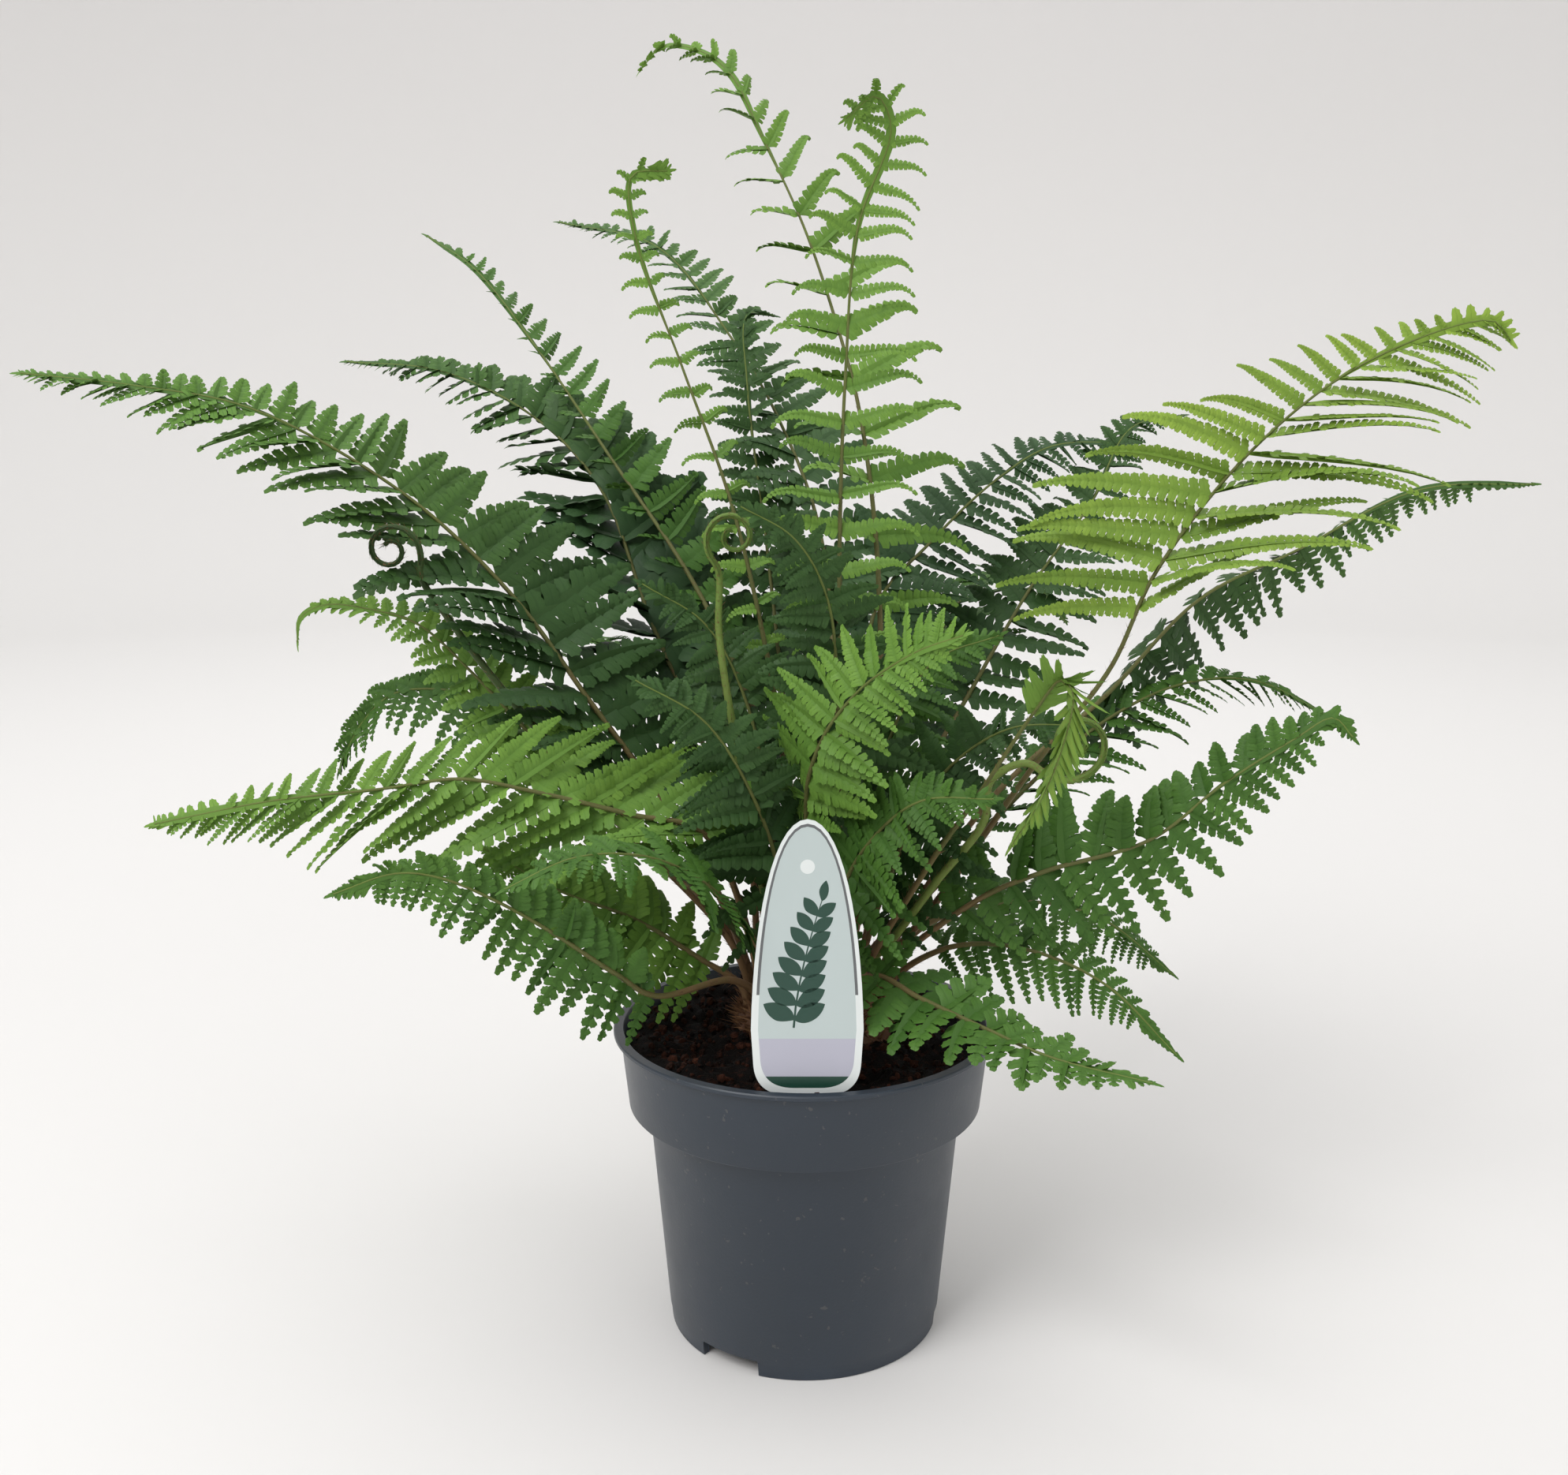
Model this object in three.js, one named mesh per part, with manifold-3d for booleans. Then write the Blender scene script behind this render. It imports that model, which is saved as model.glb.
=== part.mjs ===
// Potted male fern: a nursery pot with its soil, the fern's crown, a plant label, open fronds and young croziers.
// Millimetres, +Z up. The origin is the centre of the pot's base and the front of the plant looks along -Y.

import * as THREE from 'three';
import { mergeVertices } from 'three/addons/utils/BufferGeometryUtils.js';
import Module from 'manifold-3d';

const wasm = await Module();
wasm.setup();

// Clearance between pieces that touch on the real plant
const GAP = 0.3;
const OVERRUN = 1;

// A 19 cm nursery pot with a collar, a rolled lip and a raised floor
const POT = {
  height: 154.5,
  lipRadius: 95,
  lipHeight: 2.2,
  collarTopRadius: 91.8,
  collarFootRadius: 87.8,
  collarFoot: 115.3,
  stepHeight: 3,
  bodyTopRadius: 78.2,
  baseRadius: 67.7,
  wall: 1.8,
  floorUnderside: 8.5,
  floor: 2.2,
  footRing: 3.6,
  padRadius: 15,
  sides: 36,
};
const FOOT_NOTCH = { azimuths: [237, 357, 117], width: 32, height: 8.2, depth: 12 };
const DRAIN = { count: 5, radius: 4.5, ring: 42, sides: 6 };

// Peat soil, a few millimetres under the lip and lumpy on top
const SOIL = { top: 149, lump: 1.6, sides: 28, rings: [0, 16, 34, 48, 62, 76] };

// The crown is the scaly top of the rhizome, and every stalk stands in it
const CROWN = { x: 5, y: 5, radius: 39, foot: 134, shoulder: 151, top: 175, sides: 18 };
const SOCKET_DEPTH = 11;

// An upright oval plant label with a spike pushed into the soil
const LABEL = {
  x: 0,
  y: -83.5,
  lean: 2,
  foot: 151,
  height: 125,
  width: 50,
  shoulderHeight: 30,
  cornerRadius: 14,
  thickness: 0.8,
  spikeWidth: 13,
  spikeLength: 30,
};

// Stalk radii at the crown and at the tip, and how a leaflet is built
const STALK = { baseRadius: 1.9, tipRadius: 0.8, tubeStep: 55, samples: 240 };
const LEAFLET = {
  seat: 3.0,
  tipSeat: 1.7,
  ribHeight: 0.6,
  ribPlace: 0.42,
  toothedFrom: 21,
  margin: 0.8,
};
// Outline of a leaflet from its stalk to its tip: place along it, share of its half width
const TOOTHED_EDGE = [[0.15, 0.95], [0.32, 0.55], [0.52, 0.85]];
const PLAIN_EDGE = [[0.34, 0.9]];

// Ways to bend a leaflet clear of its neighbours: extra lift, extra sweep in degrees, and share of its length
const BENDS = [
  [0, 0, 1], [16, 0, 1], [-16, 0, 1], [0, 16, 1], [0, -16, 1], [32, 0, 1], [-32, 0, 1], [16, 16, 0.85],
  [-16, 16, 0.85], [48, 0, 0.85], [-48, 0, 0.85], [0, 0, 0.65], [24, 0, 0.65], [-24, 0, 0.65], [0, 0, 0.45],
  [30, 10, 0.45], [-30, 10, 0.45],
];

const COLOURS = {
  bright: 0x7fa53a,
  fresh: 0x5f8f38,
  green: 0x3f6f35,
  dark: 0x2f5a36,
  blue: 0x335e47,
};

// Each frond: its seat on the crown as ring radius and azimuth, the guide points of its midrib from there
// to its tip, and the direction that its upper face looks. `bare` is the share of stalk without leaflets,
// `pairs`, `long` and `wide` give the leaflets, and `taper` how fast they shorten to the frond's tip.
// `sweep` leans the two sides to the tip, by `lean` more at the tip itself, and `rise` lifts them.
// `droop` bends a leaflet down over its whole length, and `hook` at its end.
const FRONDS = [
  { name: 'frond_right_big', seat: [28, 345], colour: 'bright', face: [-0.15, -0.95, 0.25],
    route: [[62, -8, 215], [108, -12, 285], [142, -19, 334], [159, -30, 380], [197, -45, 436],
      [238, -60, 471], [282, -76, 486], [288, -80, 478]],
    bare: 0.53, pairs: 12, long: [84, 98], wide: 14, taper: [1.75, 0.95], sweep: [-20, 50],
    lean: [10, 0], rise: [6, 4], roll: [10, 55], droop: 0.14, hook: 0.06 },
  { name: 'frond_left_front', seat: [27, 205], colour: 'fresh', face: [0, -0.85, 0.52],
    route: [[-48, -28, 257], [-81, -36, 268], [-126, -48, 282], [-155, -56, 289], [-190, -64, 286],
      [-234, -74, 283], [-282, -84, 275]],
    bare: 0.25, pairs: 13, long: [66, 70], wide: 14, taper: [0.9, 1.5], sweep: [52, -48],
    lean: [12, 26], rise: [-22, 0], roll: [45, 0], droop: 0.08, hook: 0.03 },
  { name: 'frond_left_far', seat: [30, 172], colour: 'dark', face: [0.1, -0.6, 0.8],
    route: [[-55, 12, 240], [-105, 10, 314], [-142, 8, 367], [-190, 5, 414], [-256, -5, 453],
      [-305, -15, 463], [-352, -25, 468]],
    bare: 0.24, pairs: 13, long: [62, 50], wide: 15, taper: [0.9, 1.4], sweep: [42, -10],
    lean: [10, 20], rise: [0, 18], roll: [30, 0], droop: 0.08, hook: 0.04 },
  { name: 'frond_back_tall', seat: [18, 50], colour: 'fresh', face: [0.2, -1, 0.25],
    route: [[36, 20, 288], [36, 30, 379], [27, 45, 454], [16, 60, 497], [0, 75, 545], [-22, 95, 594],
      [-38, 112, 627], [-55, 126, 642], [-75, 134, 646], [-87, 140, 636]],
    bare: 0.34, pairs: 12, long: [40, 62], wide: 17, taper: [0.8, 1.0], sweep: [20, 8],
    lean: [20, 62], rise: [8, 8], roll: [50, 0], droop: 0.02, hook: 0.2 },
  { name: 'frond_centre_tall', seat: [9, 0], colour: 'fresh', face: [0, -1, 0.1],
    route: [[18, 5, 291], [16, 0, 387], [18, -5, 468], [23, -10, 533], [37, -16, 574], [30, -22, 586],
      [17, -26, 576]],
    bare: 0.38, pairs: 12, long: [38, 40], wide: 10, taper: [0.5, 0.5], sweep: [10, 10],
    lean: [10, 10], rise: [8, 8], roll: [20, 20], droop: -0.08, hook: 0.32 },
  { name: 'frond_left_tall', seat: [14, 120], colour: 'fresh', face: [0.3, -1, 0.2],
    route: [[-9, 20, 268], [-18, 30, 330], [-36, 35, 408], [-60, 45, 474], [-83, 50, 538], [-84, 50, 566],
      [-67, 50, 568]],
    bare: 0.34, pairs: 11, long: [19, 17], wide: 8, taper: [0.3, 0.3], sweep: [10, 10],
    lean: [14, 14], rise: [4, 4], roll: [20, 20], droop: -0.05, hook: 0.36 },
  { name: 'frond_centre_front', seat: [18, 265], colour: 'bright', face: [-0.2, -0.6, 0.75],
    route: [[0, -30, 265], [1, -42, 287], [9, -54, 311], [23, -66, 331], [35, -76, 342], [48, -86, 351],
      [64, -96, 358]],
    bare: 0.42, pairs: 10, long: [54, 40], wide: 13, taper: [0.7, 0.9], sweep: [-14, 10],
    lean: [40, 40], rise: [4, -20], roll: [0, 20], droop: 0.08, hook: 0.04 },
  { name: 'frond_right_lower', seat: [30, 330], colour: 'green', face: [-0.1, -0.85, 0.5],
    route: [[80, -26, 223], [110, -38, 241], [156, -52, 260], [185, -62, 288], [212, -72, 310],
      [227, -76, 320], [235, -78, 312]],
    bare: 0.26, pairs: 11, long: [40, 34], wide: 14, taper: [0.8, 0.8], sweep: [16, 14],
    lean: [12, 12], rise: [4, -20], roll: [0, 20], droop: 0.14, hook: 0.06 },
  { name: 'frond_front_right', seat: [30, 305], colour: 'bright', face: [0.1, -1, 0.1],
    route: [[55, -45, 244], [75, -69, 284], [95, -94, 326], [103, -108, 341], [106, -117, 336],
      [102, -125, 320], [93, -131, 298], [80, -135, 278]],
    bare: 0.66, pairs: 7, long: [13, 13], wide: 8, taper: [0.5, 0.5], sweep: [24, 24],
    lean: [20, 20], rise: [-6, -6], roll: [0, 0], droop: 0, hook: 0 },
  { name: 'frond_right_front_low', seat: [30, 290], colour: 'fresh', face: [0.2, -0.55, 0.8],
    route: [[32, -42, 192], [52, -65, 189], [78, -92, 185], [102, -117, 182], [139, -142, 181]],
    bare: 0.16, pairs: 9, long: [24, 27], wide: 14, taper: [0.8, 0.8], sweep: [8, 8],
    lean: [20, 20], rise: [8, 4], roll: [0, 0], droop: 0.06, hook: 0.02 },
  { name: 'frond_left_low', seat: [33, 215], colour: 'green', face: [0.1, -0.9, 0.5],
    route: [[-36, -25, 184], [-70, -50, 185], [-87, -60, 199], [-114, -68, 221], [-137, -76, 238],
      [-160, -84, 251], [-178, -88, 254], [-204, -92, 246]],
    bare: 0.34, pairs: 10, long: [26, 24], wide: 10, taper: [0.7, 0.8], sweep: [4, 26],
    lean: [14, 14], rise: [-4, 10], roll: [0, 20], droop: 0.12, hook: 0.04 },
  { name: 'frond_left_back_long', seat: [24, 140], colour: 'green', face: [0.6, -0.8, 0.3],
    route: [[-16, 20, 275], [-50, 45, 358], [-106, 85, 439], [-142, 110, 489], [-179, 135, 533],
      [-207, 150, 552]],
    bare: 0.3, pairs: 11, long: [18, 50], wide: 14, taper: [1.0, 0.95], sweep: [40, 22],
    lean: [6, 14], rise: [-20, 4], roll: [60, 0], droop: 0, hook: 0.02 },
  { name: 'frond_right_back', seat: [30, 5], colour: 'dark', face: [-0.2, -0.8, 0.6],
    route: [[90, 15, 261], [152, 30, 315], [200, 45, 361], [251, 55, 385], [315, 65, 415], [376, 70, 418]],
    bare: 0.32, pairs: 11, long: [26, 30], wide: 12, taper: [0.9, 0.9], sweep: [30, 30],
    lean: [16, 16], rise: [-50, -58], roll: [0, 0], droop: 0.2, hook: 0.1 },
  { name: 'frond_left_mid_back', seat: [30, 150], colour: 'blue', face: [0.2, -0.75, 0.65],
    route: [[-30, 25, 246], [-77, 60, 343], [-107, 90, 415], [-145, 115, 453], [-197, 130, 478],
      [-252, 140, 484]],
    bare: 0.3, pairs: 11, long: [44, 50], wide: 20, taper: [1.1, 1.4], sweep: [30, 22],
    lean: [10, 10], rise: [-6, 14], roll: [50, 0], droop: 0.06, hook: 0.04 },
  { name: 'frond_back_left', seat: [26, 85], colour: 'blue', face: [0.3, -0.9, 0.4],
    route: [[15, 30, 286], [9, 80, 391], [-14, 120, 454], [-40, 150, 498], [-84, 190, 552],
      [-144, 220, 570]],
    bare: 0.3, pairs: 11, long: [38, 42], wide: 13, taper: [0.9, 0.9], sweep: [14, 14],
    lean: [14, 14], rise: [8, 8], roll: [20, 0], droop: 0.08, hook: 0.05 },
  { name: 'frond_right_mid', seat: [24, 65], colour: 'blue', face: [-0.2, -0.8, 0.6],
    route: [[28, 32, 266], [37, 62, 354], [68, 88, 388], [105, 112, 420], [138, 130, 438], [188, 150, 440]],
    bare: 0.28, pairs: 10, long: [46, 44], wide: 14, taper: [0.9, 0.9], sweep: [12, 16],
    lean: [14, 14], rise: [2, -12], roll: [0, 20], droop: 0.1, hook: 0.05 },
  { name: 'frond_right_up_back', seat: [28, 38], colour: 'dark', face: [-0.4, -0.9, 0.3],
    route: [[46, 30, 245], [86, 60, 310], [122, 90, 364], [158, 120, 407], [185, 150, 448], [220, 170, 456]],
    bare: 0.3, pairs: 10, long: [42, 40], wide: 14, taper: [0.9, 0.9], sweep: [14, 16],
    lean: [14, 14], rise: [6, -10], roll: [0, 20], droop: 0.1, hook: 0.05 },
  { name: 'frond_back_mid', seat: [28, 110], colour: 'dark', face: [0, -1, 0.2],
    route: [[-7, 40, 264], [-19, 80, 383], [-30, 110, 470], [-30, 127, 508], [-16, 134, 508]],
    bare: 0.34, pairs: 10, long: [32, 32], wide: 12, taper: [0.8, 0.8], sweep: [14, 14],
    lean: [16, 16], rise: [8, 8], roll: [10, 10], droop: 0.06, hook: 0.12 },
  { name: 'frond_left_mid', seat: [31, 185], colour: 'fresh', face: [0.1, -0.75, 0.65],
    route: [[-40, 0, 200], [-94, 10, 254], [-129, 16, 289], [-164, 22, 326], [-191, 26, 350],
      [-215, 30, 357], [-239, 32, 359], [-252, 34, 352], [-254, 34, 340]],
    bare: 0.36, pairs: 11, long: [28, 32], wide: 13, taper: [1.3, 1.3], sweep: [26, 14],
    lean: [14, 14], rise: [-12, 18], roll: [20, 0], droop: 0.12, hook: 0.06 },
  { name: 'frond_left_droop', seat: [34, 160], colour: 'green', face: [-0.3, -0.7, 0.65],
    route: [[-36, 15, 192], [-109, 40, 264], [-163, 56, 307], [-189, 64, 312], [-216, 70, 309],
      [-233, 74, 295], [-244, 76, 278], [-250, 78, 265]],
    bare: 0.38, pairs: 10, long: [30, 34], wide: 13, taper: [0.7, 0.7], sweep: [14, 50],
    lean: [16, 16], rise: [4, 4], roll: [0, 0], droop: 0.2, hook: 0.08 },
  { name: 'frond_centre_dark', seat: [14, 300], colour: 'dark', face: [0.2, -0.85, 0.5],
    route: [[16, -14, 240], [15, -25, 315], [9, -40, 369], [-6, -52, 396], [-29, -62, 410]],
    bare: 0.24, pairs: 9, long: [46, 46], wide: 14, taper: [0.9, 0.9], sweep: [10, 10],
    lean: [16, 16], rise: [4, 4], roll: [10, 10], droop: 0.12, hook: 0.05 },
  { name: 'frond_right_comb', seat: [34, 20], colour: 'green', face: [0.2, -0.7, 0.7],
    route: [[62, 24, 196], [108, 40, 204], [156, 52, 192], [199, 58, 158]],
    bare: 0.26, pairs: 9, long: [30, 34], wide: 9, taper: [0.9, 0.9], sweep: [24, 24],
    lean: [16, 16], rise: [0, -56], roll: [0, 0], droop: 0.15, hook: 0.06 },
  { name: 'frond_right_thin', seat: [34, 352], colour: 'green', face: [0.1, -0.8, 0.6],
    route: [[70, -12, 196], [104, -26, 200], [140, -42, 188], [172, -55, 158]],
    bare: 0.28, pairs: 9, long: [22, 26], wide: 9, taper: [0.9, 0.9], sweep: [16, 16],
    lean: [16, 16], rise: [0, -30], roll: [0, 0], droop: 0.1, hook: 0.06 },
  { name: 'frond_right_mid_low', seat: [24, 20], colour: 'green', face: [-0.1, -0.6, 0.8],
    route: [[70, 14, 224], [107, 22, 264], [151, 30, 301], [191, 36, 319], [228, 40, 320], [267, 44, 302]],
    bare: 0.34, pairs: 9, long: [28, 40], wide: 11, taper: [0.9, 0.9], sweep: [30, 40],
    lean: [14, 14], rise: [0, -10], roll: [0, 40], droop: 0.12, hook: 0.06 },
  { name: 'frond_left_low_light', seat: [34, 195], colour: 'fresh', face: [0, -0.75, 0.7],
    route: [[-52, -10, 190], [-82, -18, 212], [-117, -24, 228], [-152, -28, 250]],
    bare: 0.26, pairs: 9, long: [36, 32], wide: 12, taper: [0.9, 0.9], sweep: [10, 10],
    lean: [16, 16], rise: [0, 0], roll: [0, 20], droop: 0.1, hook: 0.05 },
  { name: 'frond_front_hidden', seat: [33, 245], colour: 'green', face: [-0.2, -0.5, 0.85],
    route: [[-24, -40, 208], [-44, -66, 242], [-70, -90, 262], [-98, -108, 266], [-125, -120, 256]],
    bare: 0.3, pairs: 9, long: [34, 34], wide: 12, taper: [0.9, 0.9], sweep: [12, 12],
    lean: [16, 16], rise: [0, 0], roll: [0, 20], droop: 0.12, hook: 0.05 },
  { name: 'frond_back_right', seat: [34, 58], colour: 'green', face: [-0.3, -0.3, 0.9],
    route: [[42, 60, 250], [72, 120, 325], [108, 182, 362], [146, 240, 356], [176, 280, 326]],
    bare: 0.3, pairs: 9, long: [54, 54], wide: 15, taper: [1.0, 1.0], sweep: [12, 12],
    lean: [14, 14], rise: [10, 10], roll: [0, 0], droop: 0.1, hook: 0.05 },
  { name: 'frond_back', seat: [34, 92], colour: 'dark', face: [0, -0.3, 0.95],
    route: [[4, 66, 248], [2, 128, 322], [-2, 196, 360], [-6, 262, 350], [-8, 304, 318]],
    bare: 0.3, pairs: 9, long: [54, 54], wide: 15, taper: [1.0, 1.0], sweep: [12, 12],
    lean: [14, 14], rise: [10, 10], roll: [0, 0], droop: 0.1, hook: 0.05 },
  { name: 'frond_back_left_low', seat: [34, 128], colour: 'green', face: [0.3, -0.3, 0.9],
    route: [[-30, 56, 235], [-66, 108, 292], [-108, 166, 322], [-150, 222, 316], [-182, 262, 284]],
    bare: 0.3, pairs: 9, long: [50, 50], wide: 15, taper: [1.0, 1.0], sweep: [12, 12],
    lean: [14, 14], rise: [10, 10], roll: [0, 0], droop: 0.1, hook: 0.05 },
  { name: 'frond_inner_left', seat: [21, 240], colour: 'dark', face: [0, -0.7, 0.7],
    route: [[-10, -26, 226], [-24, -40, 276], [-46, -50, 314], [-76, -58, 334]],
    bare: 0.22, pairs: 8, long: [44, 42], wide: 13, taper: [0.9, 0.9], sweep: [12, 12],
    lean: [16, 16], rise: [0, 0], roll: [10, 20], droop: 0.14, hook: 0.05 },
  { name: 'frond_inner_front', seat: [22, 285], colour: 'green', face: [0.1, -0.7, 0.7],
    route: [[14, -34, 222], [28, -52, 258], [50, -70, 282], [80, -84, 286]],
    bare: 0.22, pairs: 8, long: [42, 42], wide: 13, taper: [0.9, 0.9], sweep: [12, 12],
    lean: [16, 16], rise: [0, 0], roll: [0, 20], droop: 0.14, hook: 0.05 },
  { name: 'frond_inner_right', seat: [20, 345], colour: 'dark', face: [-0.1, -0.7, 0.7],
    route: [[40, -12, 230], [62, -24, 282], [92, -36, 308], [126, -46, 312]],
    bare: 0.22, pairs: 8, long: [44, 44], wide: 13, taper: [0.9, 0.9], sweep: [12, 12],
    lean: [16, 16], rise: [0, 0], roll: [0, 20], droop: 0.14, hook: 0.05 },
  { name: 'frond_inner_back', seat: [14, 165], colour: 'dark', face: [0, -0.8, 0.6],
    route: [[-16, 8, 246], [-28, 8, 312], [-48, 6, 352], [-78, 2, 372]],
    bare: 0.24, pairs: 8, long: [44, 44], wide: 13, taper: [0.9, 0.9], sweep: [12, 12],
    lean: [16, 16], rise: [0, 0], roll: [10, 10], droop: 0.12, hook: 0.05 },
  { name: 'frond_inner_mid', seat: [16, 25], colour: 'green', face: [-0.1, -0.8, 0.6],
    route: [[28, 14, 240], [42, 12, 296], [62, 6, 334], [92, -4, 348]],
    bare: 0.24, pairs: 8, long: [42, 42], wide: 13, taper: [0.9, 0.9], sweep: [12, 12],
    lean: [16, 16], rise: [0, 0], roll: [0, 20], droop: 0.12, hook: 0.05 },
];

// Young fronds still rolled up at the end: guide points of the stalk, then a flat coil
const CROZIERS = [
  { name: 'crozier_right', seat: [21, 316], route: [[38, -22, 199], [61, -38, 237], [80, -52, 268], [82, -62, 290],
    [96, -70, 299]], coilCentre: [116, -75, 309], turn: 1, coilTurns: 1.55 },
  { name: 'crozier_left', seat: [23, 184], route: [[-52, -2, 222], [-96, -6, 268], [-136, -10, 313],
    [-168, -14, 358], [-179, -16, 377]], coilCentre: [-192, -18, 389], turn: 1, coilTurns: 1.5 },
  { name: 'crozier_centre', seat: [14, 215], route: [[-18, -14, 215], [-32, -28, 296], [-40, -32, 352],
    [-40, -36, 381]], coilCentre: [-33, -38, 396], turn: -1, coilTurns: 1.4 },
];
const COIL = { inner: 3.4, stalkRadius: 1.9, endRadius: 1.1, steps: 18, sides: 5 };

const rad = THREE.MathUtils.degToRad;
const vec = (x, y, z) => new THREE.Vector3(x, y, z);

// Turns a list of vertices and triangles into a geometry, and a closed geometry into a solid and back
function geometryOf(vertices, triangles) {
  const geometry = new THREE.BufferGeometry();
  geometry.setAttribute('position', new THREE.Float32BufferAttribute(vertices.flatMap((v) => v.toArray()), 3));
  geometry.setIndex(triangles.flat());
  return geometry;
}

function solidOf(geometry) {
  const bare = geometry.clone();
  bare.deleteAttribute('normal');
  bare.deleteAttribute('uv');
  const merged = mergeVertices(bare, 1e-4);
  return new wasm.Manifold(new wasm.Mesh({
    numProp: 3,
    vertProperties: new Float32Array(merged.attributes.position.array),
    triVerts: new Uint32Array(merged.index.array),
  }));
}

function geometryFrom(solid) {
  const mesh = solid.getMesh();
  const geometry = new THREE.BufferGeometry();
  geometry.setAttribute('position', new THREE.Float32BufferAttribute(mesh.vertProperties, 3));
  geometry.setIndex(Array.from(mesh.triVerts));
  geometry.computeVertexNormals();
  return geometry;
}

function lathe(profile, sides) {
  return new THREE.LatheGeometry(profile.map(([r, z]) => new THREE.Vector2(r, z)), sides).rotateX(Math.PI / 2);
}

function meshOf(name, geometry, colour, roughness) {
  const material = new THREE.MeshStandardMaterial({ color: colour, roughness, metalness: 0 });
  const mesh = new THREE.Mesh(geometry, material);
  mesh.name = name;
  return mesh;
}

// Inner radius of the pot's tapered body and collar at a height
function innerRadius(z) {
  const stepTop = POT.collarFoot + POT.stepHeight;
  const taper = (r0, z0, r1, z1) => r0 + (r1 - r0) * (z - z0) / (z1 - z0) - POT.wall;
  if (z < stepTop - POT.wall) return taper(POT.baseRadius, 0, POT.bodyTopRadius, POT.collarFoot);
  return taper(POT.collarFootRadius, POT.collarFoot, POT.collarTopRadius, POT.height - POT.lipHeight);
}

function makePot() {
  const { height, wall, collarFoot, floorUnderside, baseRadius, footRing, padRadius } = POT;
  const floorTop = floorUnderside + POT.floor;
  const stepTop = collarFoot + POT.stepHeight;
  const lipFoot = height - POT.lipHeight;
  const profile = [
    [0, 0],
    [padRadius, 0],
    [padRadius + 1, floorUnderside],
    [baseRadius - footRing - 0.5, floorUnderside],
    [baseRadius - footRing, 0],
    [baseRadius, 0],
    [POT.bodyTopRadius, collarFoot],
    [POT.collarFootRadius, collarFoot],
    [POT.collarTopRadius, lipFoot],
    [POT.lipRadius, lipFoot + 0.4],
    [POT.lipRadius, height - 0.5],
    [POT.lipRadius - 0.6, height],
    [innerRadius(height), height],
    [innerRadius(stepTop), stepTop],
    [innerRadius(collarFoot), stepTop - wall],
    [innerRadius(floorTop), floorTop],
    [0, floorTop],
  ];
  let pot = solidOf(lathe(profile, POT.sides));
  for (const azimuth of FOOT_NOTCH.azimuths) {
    const notch = new THREE.BoxGeometry(FOOT_NOTCH.depth, FOOT_NOTCH.width, FOOT_NOTCH.height + OVERRUN);
    notch.translate(baseRadius, 0, (FOOT_NOTCH.height - OVERRUN) / 2).rotateZ(rad(azimuth));
    pot = pot.subtract(solidOf(notch));
  }
  for (let i = 0; i < DRAIN.count; i++) {
    const drain = new THREE.CylinderGeometry(DRAIN.radius, DRAIN.radius, POT.floor + 2 * OVERRUN, DRAIN.sides);
    drain.rotateX(Math.PI / 2).translate(DRAIN.ring, 0, floorUnderside + POT.floor / 2);
    pot = pot.subtract(solidOf(drain.rotateZ(2 * Math.PI * (i + 0.5) / DRAIN.count)));
  }
  return pot;
}

function makeCrown() {
  const { radius, foot, shoulder, top } = CROWN;
  const dome = Array.from({ length: 3 }, (_, i) => {
    const angle = (i / 3) * Math.PI / 2;
    return [radius * Math.cos(angle), shoulder + (top - shoulder) * Math.sin(angle)];
  });
  const geometry = lathe([[0, foot], [radius - 4, foot], ...dome, [0, top]], CROWN.sides);
  return solidOf(geometry.translate(CROWN.x, CROWN.y, 0));
}

// Height of the crown's dome at a distance from its axis
function crownSurface(distance) {
  const share = Math.min(distance / CROWN.radius, 1);
  return CROWN.shoulder + (CROWN.top - CROWN.shoulder) * Math.sqrt(1 - share * share);
}

function crownSocket() {
  const wide = CROWN.radius + GAP;
  const profile = [[0, CROWN.foot - GAP], [wide - 4, CROWN.foot - GAP], [wide, CROWN.shoulder], [wide, CROWN.top]];
  return solidOf(lathe([...profile, [0, CROWN.top]], CROWN.sides).translate(CROWN.x, CROWN.y, 0));
}

function makeSoil() {
  const stepTop = POT.collarFoot + POT.stepHeight;
  const floorTop = POT.floorUnderside + POT.floor + GAP;
  const rim = innerRadius(SOIL.top) - 1;
  const surface = SOIL.rings.map((r) => [r, SOIL.top]).reverse();
  const profile = [
    [0, floorTop],
    [innerRadius(floorTop) - GAP, floorTop],
    [innerRadius(POT.collarFoot) - GAP, stepTop - POT.wall + GAP + 0.2],
    [innerRadius(stepTop) - GAP - 0.4, stepTop + GAP],
    [rim, SOIL.top - 1],
    ...surface,
  ];
  const geometry = lathe(profile, SOIL.sides);
  const position = geometry.attributes.position;
  for (let i = 0; i < position.count; i++) {
    const x = position.getX(i);
    const y = position.getY(i);
    if (position.getZ(i) < SOIL.top - 0.5) continue;
    const lump = Math.sin(x * 0.13 + y * 0.07) + Math.cos(y * 0.16 - x * 0.05) * 0.8;
    position.setZ(i, SOIL.top + SOIL.lump * lump * Math.min(1, (rim - Math.hypot(x, y)) / 10));
  }
  return solidOf(geometry);
}

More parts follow.
